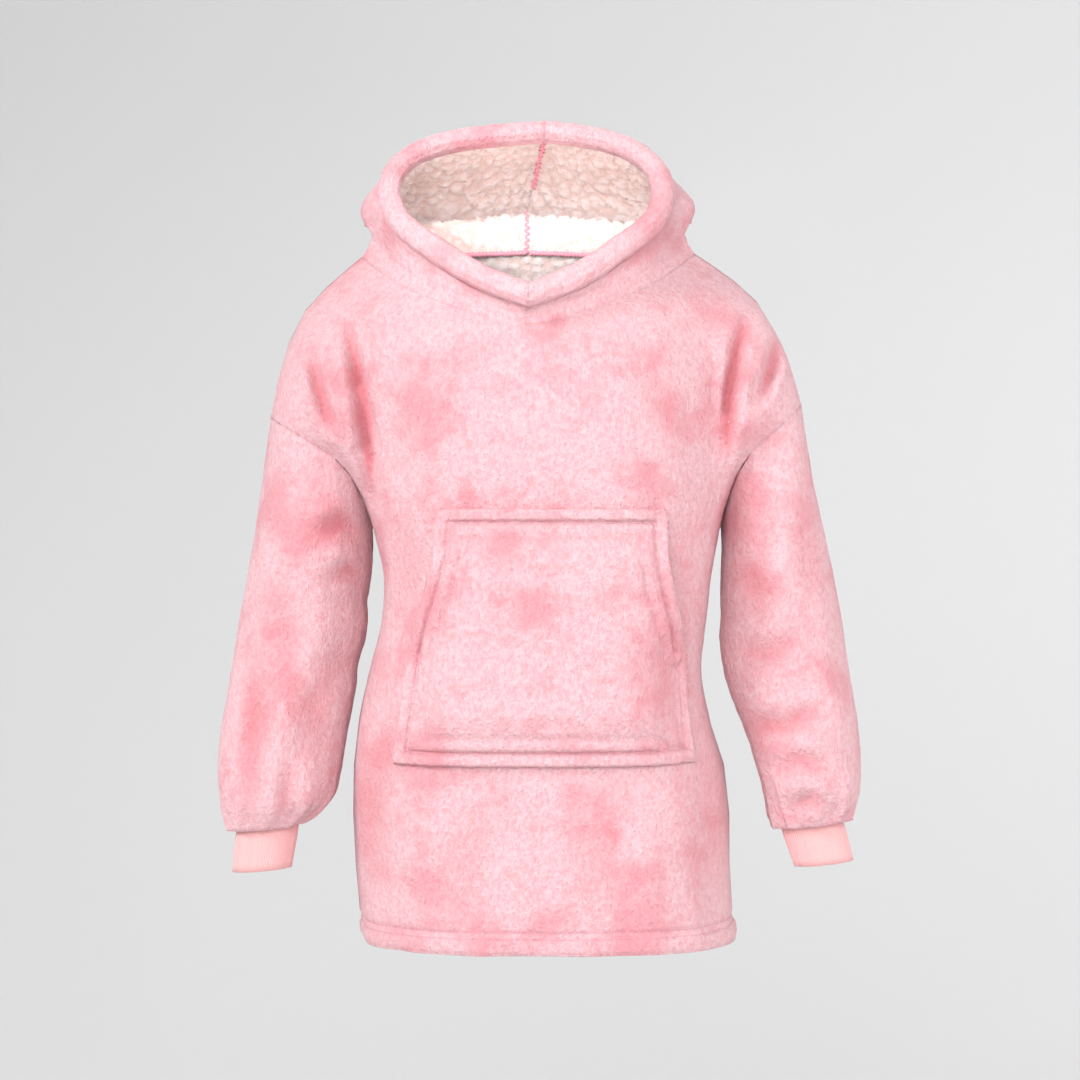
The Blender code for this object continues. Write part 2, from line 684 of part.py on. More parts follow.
def wall_mesh(name, outer, inner, around, guide):
    """A closed wall between two grids of points, with both split along guide's diagonals."""
    rows, columns, _ = outer.shape
    count = rows * columns
    points = np.vstack([outer.reshape(-1, 3), inner.reshape(-1, 3)])
    order = list(range(columns)) + ([0] if around else [])
    out_rows = [[i * columns + j for j in order] for i in range(rows)]
    in_rows = [[count + number for number in row] for row in out_rows]
    faces = []
    for i in range(rows - 1):
        corners = (guide[i][order], guide[i + 1][order])
        faces += cells(out_rows[i], out_rows[i + 1], corners, False)
        faces += cells(in_rows[i], in_rows[i + 1], corners, True)
    faces += rim(out_rows[0][::-1], in_rows[0][::-1], points)
    faces += rim(out_rows[-1], in_rows[-1], points)
    if not around:
        first_out = [row[0] for row in out_rows]
        first_in = [row[0] for row in in_rows]
        last_out = [row[-1] for row in out_rows]
        last_in = [row[-1] for row in in_rows]
        faces += rim(first_out, first_in, points)
        faces += rim(last_out[::-1], last_in[::-1], points)
    mesh = bpy.data.meshes.new(name)
    mesh.from_pydata([tuple(point) for point in points], [], faces)
    return mesh


def add_piece(name, mesh, finish):
    mesh.shade_smooth()
    mesh.set_sharp_from_angle(angle=math.radians(SHARP_ANGLE))
    piece = bpy.data.objects.new(name, mesh)
    mesh.materials.append(cloth_material(name + "_cloth", finish))
    bpy.context.scene.collection.objects.link(piece)
    return piece


def add_wall(name, face, near, far, finish):
    """A wall of cloth from depth near to depth far behind a face."""
    outer = face.grid - face.normals * near
    if face.relief is not None:
        outer = outer + face.normals * face.relief[:, None, None]
    inner = face.grid - face.normals * far
    return add_piece(name, wall_mesh(name, outer, inner, face.around, face.grid), finish)


def add_band(side, count):
    """Half of the rolled edge round the hood's opening, as a bent solid roll of count rings."""
    rings = []
    for index in range(count):
        share = index / (count - 1)
        middle, towards, outside, _ = rim_frame(share, side)
        if share in (0.0, 1.0):
            sign = -1.0 if side == "left" else 1.0
            middle = middle + np.array([sign * 0.5 * SEAM_GAP, 0.0, 0.0])
        ring = []
        for turn in turns(BAND_SIDES):
            ring.append(
                middle
                + towards * BAND_HALF_WIDTH * math.cos(turn)
                + outside * BAND_HALF_DEPTH * math.sin(turn)
            )
        rings.append(ring)
    points = [tuple(point) for ring in rings for point in ring]
    faces = []
    for i in range(count - 1):
        for j in range(BAND_SIDES):
            k = (j + 1) % BAND_SIDES
            low, high = i * BAND_SIDES, (i + 1) * BAND_SIDES
            faces.append((low + j, low + k, high + k, high + j))
    faces.append(tuple(range(BAND_SIDES))[::-1])
    faces.append(tuple((count - 1) * BAND_SIDES + j for j in range(BAND_SIDES)))
    if side == "right":
        faces = [tuple(reversed(face)) for face in faces]
    mesh = bpy.data.meshes.new("hood_band_" + side)
    mesh.from_pydata(points, [], faces)
    return add_piece("hood_band_" + side, mesh, FLEECE)


def add_cuff(side):
    """A rib cuff: ribs raised on the outside, over a plain inside."""
    top, bottom, outward = cuff_frame(side)
    axis = unit(top - bottom)
    top = top + axis * (CUFF_TUCK - SLEEVE_END)
    columns = 2 * RIBS
    levels = ((0.0, 1.0), (CUFF_STRAIGHT, 1.0), (1.0, CUFF_TAPER))
    outer = []
    inner = []
    for share, taper in levels:
        middle = top + (bottom - top) * share
        ring = []
        for index, turn in enumerate(turns(columns)):
            height = RIB_HEIGHT if index % 2 else 0.0
            across = outward * (CUFF_HALF_WIDTH * taper - height)
            ring.append(ring_point(middle, across, CUFF_HALF_DEPTH * taper - height, turn))
        outer.append(ring)
        across = outward * (CUFF_HALF_WIDTH * taper - CUFF_WALL)
        depth = CUFF_HALF_DEPTH * taper - CUFF_WALL
        inner.append([ring_point(middle, across, depth, turn) for turn in turns(CUFF_INNER_SIDES)])
    points = [tuple(point) for ring in outer + inner for point in ring]
    count = len(levels)
    base = count * columns
    sides = CUFF_INNER_SIDES
    faces = []
    for i in range(count - 1):
        for j in range(columns):
            k = (j + 1) % columns
            faces.append((i * columns + j, i * columns + k,
                          (i + 1) * columns + k, (i + 1) * columns + j))
        for j in range(sides):
            k = (j + 1) % sides
            faces.append((base + (i + 1) * sides + j, base + (i + 1) * sides + k,
                          base + i * sides + k, base + i * sides + j))
    step = columns // sides
    for i, turned in ((0, True), (count - 1, False)):
        for j in range(sides):
            k = (j + 1) % sides
            half = j * step + step // 2
            near, far = base + i * sides + j, base + i * sides + k
            fan = [(near, i * columns + m, i * columns + (m + 1) % columns)
                   for m in range(j * step, half)]
            fan.append((near, i * columns + half, far))
            fan += [(far, i * columns + m, i * columns + (m + 1) % columns)
                    for m in range(half, (j + 1) * step)]
            faces += [tuple(reversed(face)) for face in fan] if turned else fan
    if side == "right":
        faces = [tuple(reversed(face)) for face in faces]
    mesh = bpy.data.meshes.new("cuff_" + side)
    mesh.from_pydata(points, [], faces)
    return add_piece("cuff_" + side, mesh, RIB_KNIT)


def add_pocket(front):
    """The kangaroo pocket, laid on the front panel's own points and moved out."""
    tree = BVHTree.FromPolygons(
        [tuple(vertex.co) for vertex in front.data.vertices],
        [tuple(polygon.vertices) for polygon in front.data.polygons],
    )
    heights = list(np.linspace(POCKET_BOTTOM + POCKET_BORDER[-1], POCKET_TOP - POCKET_BORDER[-1],
                               POCKET_MIDDLE_ROWS + 1))
    heights = [POCKET_BOTTOM + rise for rise in POCKET_BORDER[:-1]] + heights
    heights += [POCKET_TOP - rise for rise in POCKET_BORDER[-2::-1]]
    outer = []
    inner = []
    for height in heights:
        left = smooth([row[0] for row in POCKET_LEFT], [[row[1]] for row in POCKET_LEFT], height)[0]
        right = smooth(
            [row[0] for row in POCKET_RIGHT], [[row[1]] for row in POCKET_RIGHT], height
        )[0]
        middle = np.linspace(left + POCKET_BORDER[-1], right - POCKET_BORDER[-1],
                             POCKET_MIDDLE_COLUMNS + 1)
        across = [left + rise for rise in POCKET_BORDER[:-1]] + list(middle)
        across += [right - rise for rise in POCKET_BORDER[-2::-1]]
        outer_row = []
        inner_row = []
        for x in across:
            hit = tree.ray_cast(Vector((x, -1.0, height)), Vector((0.0, 1.0, 0.0)))[0]
            from_side = min(x - left, right - x)
            from_end = min(height - POCKET_BOTTOM, POCKET_TOP - height)
            room = pocket_room(x, height, left, right)
            relief = border_relief(min(from_side, from_end))
            base = hit.y - POCKET_GAP - room
            inner_row.append((x, base, height))
            outer_row.append((x, base - POCKET_CLOTH - relief, height))
        outer.append(outer_row)
        inner.append(inner_row)
    outer = np.array(outer)
    inner = np.array(inner)
    push = clearance(inner, tree)
    outer[..., 1] -= push
    inner[..., 1] -= push
    mesh = wall_mesh("pocket", outer, inner, False, inner)
    return add_piece("pocket", mesh, FLEECE)


def clearance(inner, tree):
    """How far each point moves out so that the flat cells between points clear the panel."""
    rows, columns, _ = inner.shape
    push = np.zeros((rows, columns))
    for i in range(rows - 1):
        for j in range(columns - 1):
            corners = ((i, j), (i, j + 1), (i + 1, j + 1), (i + 1, j))
            pairs = [(corners[k], corners[(k + 1) % 4]) for k in range(4)]
            pairs += [(corners[0], corners[2]), (corners[1], corners[3])]
            for first, second in pairs:
                for share in np.linspace(0.0, 1.0, CLEARANCE_STEPS):
                    point = inner[first] * (1.0 - share) + inner[second] * share
                    start = Vector((point[0], -1.0, point[2]))
                    hit = tree.ray_cast(start, Vector((0.0, 1.0, 0.0)))[0]
                    needed = point[1] - (hit.y - POCKET_GAP)
                    for corner in (first, second):
                        push[corner] = max(push[corner], needed)
    return push


def border_relief(inside):
    """How far the pocket's padded border stands out at a distance inside its edge."""
    if inside >= POCKET_BORDER[-1]:
        return BORDER_RELIEF[-1]
    return float(np.interp(inside, POCKET_BORDER, BORDER_RELIEF))


def pocket_room(x, height, left, right):
    """Depth of the hand space behind the pocket: none at the sewn edges, open at the mouths."""
    from_end = min(height - POCKET_BOTTOM, POCKET_TOP - height)
    sewn = ease((from_end - SEWN_EDGE) / POCKET_RISE)
    mouth = ease((height - POCKET_MOUTH_LOW) / MOUTH_RISE)
    from_side = min(x - left, right - x)
    closed = ease((from_side - SEWN_EDGE) / POCKET_RISE)
    return POCKET_ROOM * sewn * (mouth + (1.0 - mouth) * closed)


def main():
    clear_objects()
    front_grid, relief = panel_grid("front")
    back_grid, _ = panel_grid("back")
    press_folds(front_grid, "front")
    press_folds(back_grid[:, ::-1], "back")
    top = len(front_grid) - 1
    armpit_row = top - UPPER_ROWS
    fold = ARM_COLUMNS
    centre = ARM_COLUMNS + CHEST_COLUMNS
    back_grid[: armpit_row + 1, [0, -1]] = front_grid[: armpit_row + 1, [0, -1]]
    back_grid[top, : fold + 1] = front_grid[top, : fold + 1]
    back_grid[top, -fold - 1 :] = front_grid[top, -fold - 1 :]
    necklines = {
        "left": np.vstack([front_grid[top, fold : centre + 1][::-1],
                           back_grid[top, fold + 1 : centre + 1]]),
        "right": np.vstack([front_grid[top, centre : 2 * centre - fold + 1],
                            back_grid[top, centre : 2 * centre - fold][::-1]]),
    }
    armholes = {
        "left": np.vstack([front_grid[armpit_row:, 0], back_grid[armpit_row + 1 : -1, 0][::-1]]),
        "right": np.vstack([front_grid[armpit_row:, -1], back_grid[armpit_row + 1 : -1, -1][::-1]]),
    }
    faces = {
        "front_panel": Face(front_grid, relief=relief, seams=("top", "sides")),
        "back_panel": Face(back_grid[:, ::-1].copy(), relief=relief, seams=("top", "sides")),
    }
    for side in ("left", "right"):
        faces["sleeve_" + side] = Face(sleeve_grid(side, armholes[side]), True, seams=("top",))
        hood, edge = hood_grid(side, necklines[side])
        faces["hood_" + side] = Face(hood, seams=("bottom", "sides"), edge=edge)
    shared_normals(faces.values(), armholes.values())
    for face in faces.values():
        open_seams(face)
    front = add_wall("front_panel", faces["front_panel"], 0.0, CLOTH, FLEECE)
    add_wall("back_panel", faces["back_panel"], 0.0, CLOTH, FLEECE)
    for side in ("left", "right"):
        add_wall("sleeve_" + side, faces["sleeve_" + side], 0.0, CLOTH, FLEECE)
        add_cuff(side)
        hood = faces["hood_" + side]
        add_wall("hood_" + side, hood, 0.0, HOOD_SHELL, FLEECE)
        lining = HOOD_SHELL + LAYER_GAP
        add_wall("hood_lining_" + side, hood, lining, lining + HOOD_LINING, SHERPA)
        add_band(side, len(necklines[side]))
    add_pocket(front)


main()
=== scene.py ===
"""A wearable blanket hoodie: brushed fleece outside, curly sherpa inside, and its sewing.

Each cut piece is a fine copy of its solid's wall, smoothed, creased and given its pile. Metres,
+Z up, front towards -Y, in the solids' own frame.
"""

import math

import bmesh
import bpy
import numpy as np
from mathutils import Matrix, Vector, kdtree, noise
from mathutils.bvhtree import BVHTree


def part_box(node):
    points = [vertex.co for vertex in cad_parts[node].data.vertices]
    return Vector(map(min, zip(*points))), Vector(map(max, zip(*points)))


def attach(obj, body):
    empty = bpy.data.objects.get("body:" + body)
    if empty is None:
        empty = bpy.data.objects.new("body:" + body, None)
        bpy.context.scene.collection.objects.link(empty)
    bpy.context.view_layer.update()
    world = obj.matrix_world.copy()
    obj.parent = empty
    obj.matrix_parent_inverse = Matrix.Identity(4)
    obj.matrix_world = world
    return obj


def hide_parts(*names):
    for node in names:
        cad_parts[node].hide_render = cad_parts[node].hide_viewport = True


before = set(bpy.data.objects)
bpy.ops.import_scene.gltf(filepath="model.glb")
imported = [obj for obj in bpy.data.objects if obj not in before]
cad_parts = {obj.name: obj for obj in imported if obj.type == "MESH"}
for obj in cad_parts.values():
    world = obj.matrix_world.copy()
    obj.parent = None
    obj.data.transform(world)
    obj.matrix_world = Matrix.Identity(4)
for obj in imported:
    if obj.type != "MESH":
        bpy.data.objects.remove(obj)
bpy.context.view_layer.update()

bl_info = {
    "name": "Blanket Hoodie",
    "version": (1, 0, 0),
    "blender": (4, 5, 0),
    "location": "View3D > Sidebar > Hoodie",
    "description": "Builds the cloth, pile and sewing of a wearable blanket hoodie",
    "category": "Object",
}

BODY = "root"

# Joining and dividing the solids' walls
JOIN_DISTANCE = 0.00002
SEAM_ANGLE = math.radians(50.0)  # a wall's edges turn by more than this
STRIP_WIDTH = 0.0065  # a cut edge is no wider than this
HELD = 0.999  # weight of a point on a seam
INSIDE_TURN = -0.35  # a face that looks this far towards the middle is an inner one
SEAM_CLOSE = 0.00060  # how far each piece reaches across its half of the seam's gap
SEAM_VALLEY = 0.0004
SEAM_VALLEY_WIDTH = 0.0060

# Lines through the middle of the hollows, to tell a wall's two sides apart
BODY_BONES = (
    ((0.000, -0.010, -0.820), (0.000, -0.010, -0.170)),
    ((0.000, -0.005, -0.170), (-0.275, 0.000, -0.200)),
    ((0.000, -0.005, -0.170), (0.260, 0.000, -0.195)),
)
SLEEVE_BONES = {
    "left": (((-0.240, 0.000, -0.220), (-0.300, -0.010, -0.460)),
             ((-0.300, -0.010, -0.460), (-0.320, -0.046, -0.680))),
    "right": (((0.240, 0.000, -0.220), (0.300, -0.010, -0.460)),
              ((0.300, -0.010, -0.460), (0.318, -0.046, -0.680))),
}

HOOD_BONES = (((-0.010, -0.080, -0.020), (-0.010, 0.060, 0.070)),)

CUFF_MIDDLES = {
    "left": ((-0.3205, -0.046), (-0.3280, -0.050)),
    "right": ((0.3185, -0.046), (0.3350, -0.050)),
}
RIBS = 80

# Creases of the cloth: the side they show on, half width, depth, then points as x and z
BODY_CREASES = (
    ("front", 0.0085, 0.0180, (-0.2240, -0.085), (-0.2110, -0.145), (-0.2010, -0.210),
     (-0.1970, -0.285)),
    ("front", 0.0080, 0.0120, (-0.2660, -0.115), (-0.2590, -0.155), (-0.2420, -0.205)),
    ("front", 0.0085, 0.0175, (0.2450, -0.075), (0.2310, -0.105), (0.2205, -0.160),
     (0.2150, -0.230)),
    ("front", 0.0080, 0.0130, (0.2790, -0.098), (0.2720, -0.130), (0.2560, -0.170)),
    ("front", 0.0200, 0.0050, (-0.0400, -0.105), (-0.1000, -0.135), (-0.1600, -0.130)),
    ("front", 0.0220, 0.0045, (0.0900, -0.105), (0.1300, -0.150), (0.1550, -0.210)),
    ("front", 0.0180, 0.0040, (-0.1650, -0.300), (-0.1480, -0.360), (-0.1520, -0.420)),
    ("front", 0.0180, 0.0045, (0.1800, -0.300), (0.1620, -0.350), (0.1740, -0.430)),
    ("front", 0.0200, 0.0060, (-0.1750, -0.540), (-0.1940, -0.640), (-0.1870, -0.740)),
    ("front", 0.0220, 0.0055, (0.1900, -0.560), (0.2060, -0.650), (0.1960, -0.740)),
    ("front", 0.0260, 0.0040, (-0.0500, -0.630), (-0.0900, -0.700), (-0.0800, -0.765)),
    ("front", 0.0280, 0.0040, (0.0850, -0.630), (0.0650, -0.700), (0.0900, -0.760)),
    ("back", 0.0100, 0.0130, (-0.2180, -0.090), (-0.2050, -0.150), (-0.1950, -0.220)),
    ("back", 0.0100, 0.0130, (0.2240, -0.090), (0.2100, -0.150), (0.2030, -0.220)),
    ("back", 0.0220, 0.0070, (-0.1000, -0.060), (-0.1350, -0.180), (-0.1550, -0.330)),
    ("back", 0.0210, 0.0065, (0.1050, -0.070), (0.1300, -0.190), (0.1500, -0.320)),
    ("back", 0.0260, 0.0070, (-0.0500, -0.400), (-0.0800, -0.560), (-0.0900, -0.740)),
    ("back", 0.0250, 0.0065, (0.0600, -0.380), (0.0950, -0.560), (0.1000, -0.750)),
    ("back", 0.0190, 0.0045, (0.0050, -0.150), (-0.0100, -0.260), (0.0020, -0.380)),
)
SLEEVE_CREASES = {
    "left": (
        ("front", 0.0170, 0.0110, (-0.3350, -0.455), (-0.3330, -0.540), (-0.3420, -0.650)),
        ("front", 0.0130, 0.0110, (-0.2120, -0.330), (-0.2350, -0.318), (-0.2620, -0.328)),
        ("front", 0.0110, 0.0080, (-0.2080, -0.385), (-0.2250, -0.372), (-0.2440, -0.380)),
        ("front", 0.0180, 0.0070, (-0.2350, -0.470), (-0.2600, -0.520), (-0.2650, -0.590)),
        ("front", 0.0120, 0.0070, (-0.2900, -0.590), (-0.2970, -0.630), (-0.2950, -0.660)),
        ("front", 0.0200, 0.0060, (-0.2900, -0.400), (-0.3000, -0.460), (-0.2960, -0.520)),
        ("back", 0.0170, 0.0090, (-0.2450, -0.420), (-0.2750, -0.520), (-0.2950, -0.640)),
        ("back", 0.0160, 0.0080, (-0.3350, -0.420), (-0.3450, -0.520), (-0.3400, -0.640)),
        ("back", 0.0130, 0.0090, (-0.2150, -0.340), (-0.2500, -0.330), (-0.2800, -0.345)),
    ),
    "right": (
        ("front", 0.0150, 0.0090, (0.2300, -0.460), (0.2650, -0.468), (0.3050, -0.452)),
        ("front", 0.0140, 0.0095, (0.2450, -0.548), (0.2850, -0.552), (0.3300, -0.530)),
        ("front", 0.0140, 0.0085, (0.2680, -0.600), (0.3000, -0.590), (0.3400, -0.605)),
        ("front", 0.0160, 0.0070, (0.2350, -0.350), (0.2550, -0.395), (0.2580, -0.440)),
        ("front", 0.0120, 0.0080, (0.2900, -0.650), (0.3150, -0.634), (0.3350, -0.646)),
        ("front", 0.0200, 0.0055, (0.3050, -0.290), (0.3150, -0.350), (0.3180, -0.410)),
        ("back", 0.0170, 0.0090, (0.2450, -0.420), (0.2780, -0.520), (0.2980, -0.630)),
        ("back", 0.0160, 0.0080, (0.3350, -0.420), (0.3450, -0.520), (0.3420, -0.640)),
        ("back", 0.0130, 0.0090, (0.2200, -0.340), (0.2500, -0.330), (0.2800, -0.345)),
    ),
}
HOOD_CREASES = (
    ("front", 0.0090, 0.0040, (-0.1850, 0.020), (-0.1500, -0.010), (-0.1100, -0.035)),
    ("front", 0.0090, 0.0050, (0.1600, 0.024), (0.1180, -0.004), (0.0700, -0.028)),
    ("back", 0.0200, 0.0045, (-0.1500, 0.130), (-0.1300, 0.070), (-0.0900, 0.040)),
    ("back", 0.0200, 0.0045, (0.1300, 0.125), (0.1150, 0.070), (0.0700, 0.035)),
    ("back", 0.0180, 0.0040, (-0.0500, 0.110), (-0.0350, 0.070), (-0.0450, 0.040)),
)
CREASE_RIDGE = 0.35  # height of the ridges beside a crease, as a share of its depth
CREASE_END = 0.08
FRONT_REACH = 0.055  # a point this far before the middle counts wholly as the front
CREASE_FROM = 0.016  # distance from a seam at which a crease has its whole depth
CREASE_DARK = 0.014  # depth at which a crease gets its deepest painted shade
FREE_FROM = 0.004  # the same for the pile
INNER_PILE = 0.6  # height of the pile inside the body and sleeves against the hood's

# Sewing, in metres
HEM_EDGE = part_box("front_panel")[0].z + 0.0012
HEM_TURN = 0.028
HEM_ROWS = (0.0190, 0.0262)
GATHER_HEIGHT = 0.0026
GATHER_REACH = 0.045
HEM_GROOVE = 0.0014
HEM_GROOVE_WIDTH = 0.0017
STITCH_PITCH = 0.0037
STITCH_LENGTH = 0.0027
STITCH_RADIUS = 0.00042
STITCH_SIDES = 6
OVERLOCK_PITCH = 0.0078
OVERLOCK_SWING = 0.0032
OVERLOCK_RADIUS = 0.0013
OVERLOCK_LIFT = 0.0012
NECK_SWING = 0.0022
NECK_PITCH = 0.0045
NECK_CORD_RADIUS = 0.0017
STITCH_LIFT = 0.0001
HEM_STEPS = 360
SEAM_STEP = 0.035
SEAM_BREAK = 0.050  # a longer step than this ends one run of a seam
BORDER_WIDTH = 0.0180
BORDER_PUFF = 0.0034
BORDER_GROOVE = 0.0024
BORDER_GROOVE_WIDTH = 0.0030
POCKET_LINE = (
    # x and z along the stitched line inside the pocket's border, from the top left corner
    (-0.0960, -0.3145), (-0.1010, -0.3420), (-0.1110, -0.3820), (-0.1260, -0.4180),
    (-0.1380, -0.4480), (-0.1400, -0.4700), (-0.1470, -0.5200), (-0.1560, -0.5740),
    (-0.0800, -0.5748), (0.0000, -0.5748), (0.0900, -0.5745), (0.1650, -0.5735),
    (0.1585, -0.5200), (0.1540, -0.4700), (0.1500, -0.4480), (0.1400, -0.4180),
    (0.1290, -0.3820), (0.1230, -0.3420), (0.1235, -0.3145),
)

# Stage: a bowl of paper, and suns given by name, place, spread in degrees and strength
FLOOR_RADIUS = 4.5
FLOOR_HEIGHT = -2.0
FLOOR_RISE = 4.2
SUNS = (
    ("Key", (-2.6, -1.9, 1.7), 20.0, 1.60),
    ("Back", (0.6, 2.8, 1.9), 60.0, 1.00),
)
FRONT_LIGHTS = (
    # name, place, width and power of the lamps behind the camera
    ("Front", (-0.5, -3.7, 0.65), 1.5, 88.0),
    ("Side", (3.0, -1.6, 0.1), 2.0, 34.0),
)
# the light that the white roll and the pink cloth throw back up inside the hood
HOOD_BOUNCE = (-0.01, 0.025, 0.055)
HOOD_BOUNCE_AIM = (-0.01, 0.105, 0.145)
HOOD_BOUNCE_SIZE = (0.20, 0.05)
HOOD_BOUNCE_POWER = 0.30
HOOD_BOUNCE_COLOUR = (1.0, 0.76, 0.71)
HOOD_LIGHTS = (
    # name, place, what it is aimed at, cone in degrees, power and colour
    ("Hood from above", (-1.1, -2.8, 1.30), (-0.01, 0.04, 0.03), 7.5, 110.0, (1.0, 0.95, 0.95)),
    ("Hood from before", (-0.35, -2.9, -0.20), (-0.01, 0.10, 0.085), 5.6, 215.0, (1.0, 0.93, 0.92)),
)
SKY_STRENGTH = 0.60

# Camera, in line with the garment's middle, as the picture was taken
CAMERA_PLACE = (0.0, -3.0, -0.3336)
CAMERA_LENS = 83.3
CAMERA_SENSOR = 36.0


class HoodieSizes(bpy.types.PropertyGroup):
    """Sizes of the pile and the creases that a user may change."""

    nap_height: bpy.props.FloatProperty(
        name="Nap height", description="Relief of the brushed fleece", default=0.00055,
        unit="LENGTH")
    nap_size: bpy.props.FloatProperty(
        name="Nap size", description="Width of a tuft of brushed fleece", default=0.0085,
        unit="LENGTH")
    curl_height: bpy.props.FloatProperty(
        name="Curl height", description="Height of the sherpa's curls", default=0.0090,
        unit="LENGTH")
    curl_size: bpy.props.FloatProperty(
        name="Curl size", description="Width of one curl of sherpa", default=0.0140,
        unit="LENGTH")
    crease_depth: bpy.props.FloatProperty(
        name="Crease depth", description="Depth of the creases against their own sizes",
        default=1.0, subtype="FACTOR", min=0.0, max=2.0)


class HoodieColours(bpy.types.PropertyGroup):
    """Colours of the cloth, the knit and the thread."""

    fleece: bpy.props.FloatVectorProperty(
        name="Fleece", description="Fleece where its nap lies flat", subtype="COLOR", size=4,
        default=(0.94, 0.60, 0.645, 1.0))
    # also the colour of the painted shade between the fleece's fibres and between the rib knit's
    # stitches
    fleece_deep: bpy.props.FloatVectorProperty(
        name="Brushed fleece", description="Fleece where its nap is brushed up",
        subtype="COLOR", size=4, default=(0.85, 0.27, 0.32, 1.0))
    sherpa: bpy.props.FloatVectorProperty(
        name="Sherpa", description="Tops of the sherpa's curls", subtype="COLOR", size=4,
        default=(0.95, 0.91, 0.91, 1.0))
    # painted shade: the colour down between the curls, warmed like light thrown back from the pink
    # cloth
    sherpa_crevice_shade: bpy.props.FloatVectorProperty(
        name="Sherpa between curls", description="Sherpa down between its curls",
        subtype="COLOR", size=4, default=(0.86, 0.71, 0.66, 1.0))
    rib: bpy.props.FloatVectorProperty(
        name="Rib knit", description="Rib knit of the cuffs", subtype="COLOR", size=4,
        default=(0.87, 0.49, 0.485, 1.0))
    thread: bpy.props.FloatVectorProperty(
        name="Thread", description="Sewing and overlock thread", subtype="COLOR", size=4,
        default=(0.80, 0.36, 0.46, 1.0))


def sizes():
    return bpy.context.scene.hoodie_sizes


def colours():
    return bpy.context.scene.hoodie_colours


def activate(piece):
    bpy.ops.object.select_all(action="DESELECT")
    piece.select_set(True)
    bpy.context.view_layer.objects.active = piece


def points_of(piece):
    flat = np.empty(len(piece.data.vertices) * 3, np.float32)
    piece.data.vertices.foreach_get("co", flat)
    return flat.reshape(-1, 3).astype(float)


def normals_of(piece):
    flat = np.empty(len(piece.data.vertices) * 3, np.float32)
    piece.data.vertex_normals.foreach_get("vector", flat)
    return flat.reshape(-1, 3).astype(float)


def set_points(piece, points):
    piece.data.vertices.foreach_set("co", points.astype(np.float32).reshape(-1))
    piece.data.update()


def add_attribute(piece, name, values):
    attribute = piece.data.attributes.new(name, "FLOAT", "POINT")
    attribute.data.foreach_set("value", values.astype(np.float32))


def unit(vectors):
    return vectors / np.maximum(np.linalg.norm(vectors, axis=-1, keepdims=True), 1e-12)


def ease(values):
    """A soft step from 0 to 1."""
    held = np.clip(values, 0.0, 1.0)
    return held * held * (3.0 - 2.0 * held)


def grain(points, size, seed):
    """Smooth noise of about that size at each point, from -1 to 1."""
    shift = Vector((seed * 17.1, seed * 5.3, seed * 9.7))
    return np.array([noise.noise(Vector(point) / size + shift) for point in points])


def curls(points, size, seed):
    """Rounded lumps of about that size at each point, from 0 between them to 1 on top."""
    shift = Vector((seed * 7.9, seed * 3.1, seed * 11.3))
    heights = []
    for point in points:
        place = Vector(point) / size + shift
        place += 0.35 * Vector(noise.noise_vector(place * 0.9))
        nearest = noise.voronoi(place)[0]
        heights.append(max(0.0, 1.0 - (nearest[0] / max(nearest[1], 0.001)) ** 2.2))
    return np.array(heights)


def new_piece(name, mesh):
    piece = bpy.data.objects.new(name, mesh)
    bpy.context.scene.collection.objects.link(piece)
    return piece


def mark_rims(piece, seam_angle, strips_only):
    """Put the points of a wall's edges in the group "rim".

    With strips_only, a sharp fold in the cloth doesn't count, only the narrow cut edge.
    """
    shape = bmesh.new()
    shape.from_mesh(piece.data)
    found = set()
    for edge in shape.edges:
        if len(edge.link_faces) != 2 or edge.calc_face_angle() < seam_angle:
            continue
        narrowest = min(side.calc_length() for face in edge.link_faces for side in face.edges)
        if narrowest < STRIP_WIDTH or not strips_only:
            found.update(vert.index for vert in edge.verts)
    shape.free()
    group = piece.vertex_groups.new(name="rim")
    group.add(sorted(found), 1.0, "REPLACE")


def rim_distances(points, weights):
    """How far each point lies from the nearest point of a seam."""
    held = np.flatnonzero(weights > HELD)
    tree = kdtree.KDTree(len(held))
    for index in held:
        tree.insert(points[index], int(index))
    tree.balance()
    return np.array([tree.find(point)[2] for point in points])


def rim_weights(piece):
    group = piece.vertex_groups["rim"].index
    weights = np.zeros(len(piece.data.vertices))
    for vertex in piece.data.vertices:
        for member in vertex.groups:
            if member.group == group:
                weights[vertex.index] = member.weight
    return weights


def fine_wall(node, name, cuts, rounds, strips_only=False):
    """A copy of a node's wall, divided by cuts and smoothed by rounds, held at its seams."""
    piece = new_piece(name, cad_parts[node].data.copy())
    piece.data.materials.clear()
    activate(piece)
    bpy.ops.mesh.customdata_custom_splitnormals_clear()
    bpy.ops.object.mode_set(mode="EDIT")
    bpy.ops.mesh.select_all(action="SELECT")
    bpy.ops.mesh.remove_doubles(threshold=JOIN_DISTANCE)
    bpy.ops.object.mode_set(mode="OBJECT")
    mark_rims(piece, SEAM_ANGLE, strips_only)
    bpy.ops.object.mode_set(mode="EDIT")
    bpy.ops.mesh.select_all(action="SELECT")
    bpy.ops.mesh.subdivide(number_cuts=cuts)
    bpy.ops.object.mode_set(mode="OBJECT")
    smoother = piece.modifiers.new("smooth", "SMOOTH")
    smoother.factor = 0.5
    smoother.iterations = rounds
    smoother.vertex_group = "rim"
    smoother.invert_vertex_group = True
    bpy.ops.object.modifier_apply(modifier=smoother.name)
    bpy.ops.object.shade_smooth()
    return piece


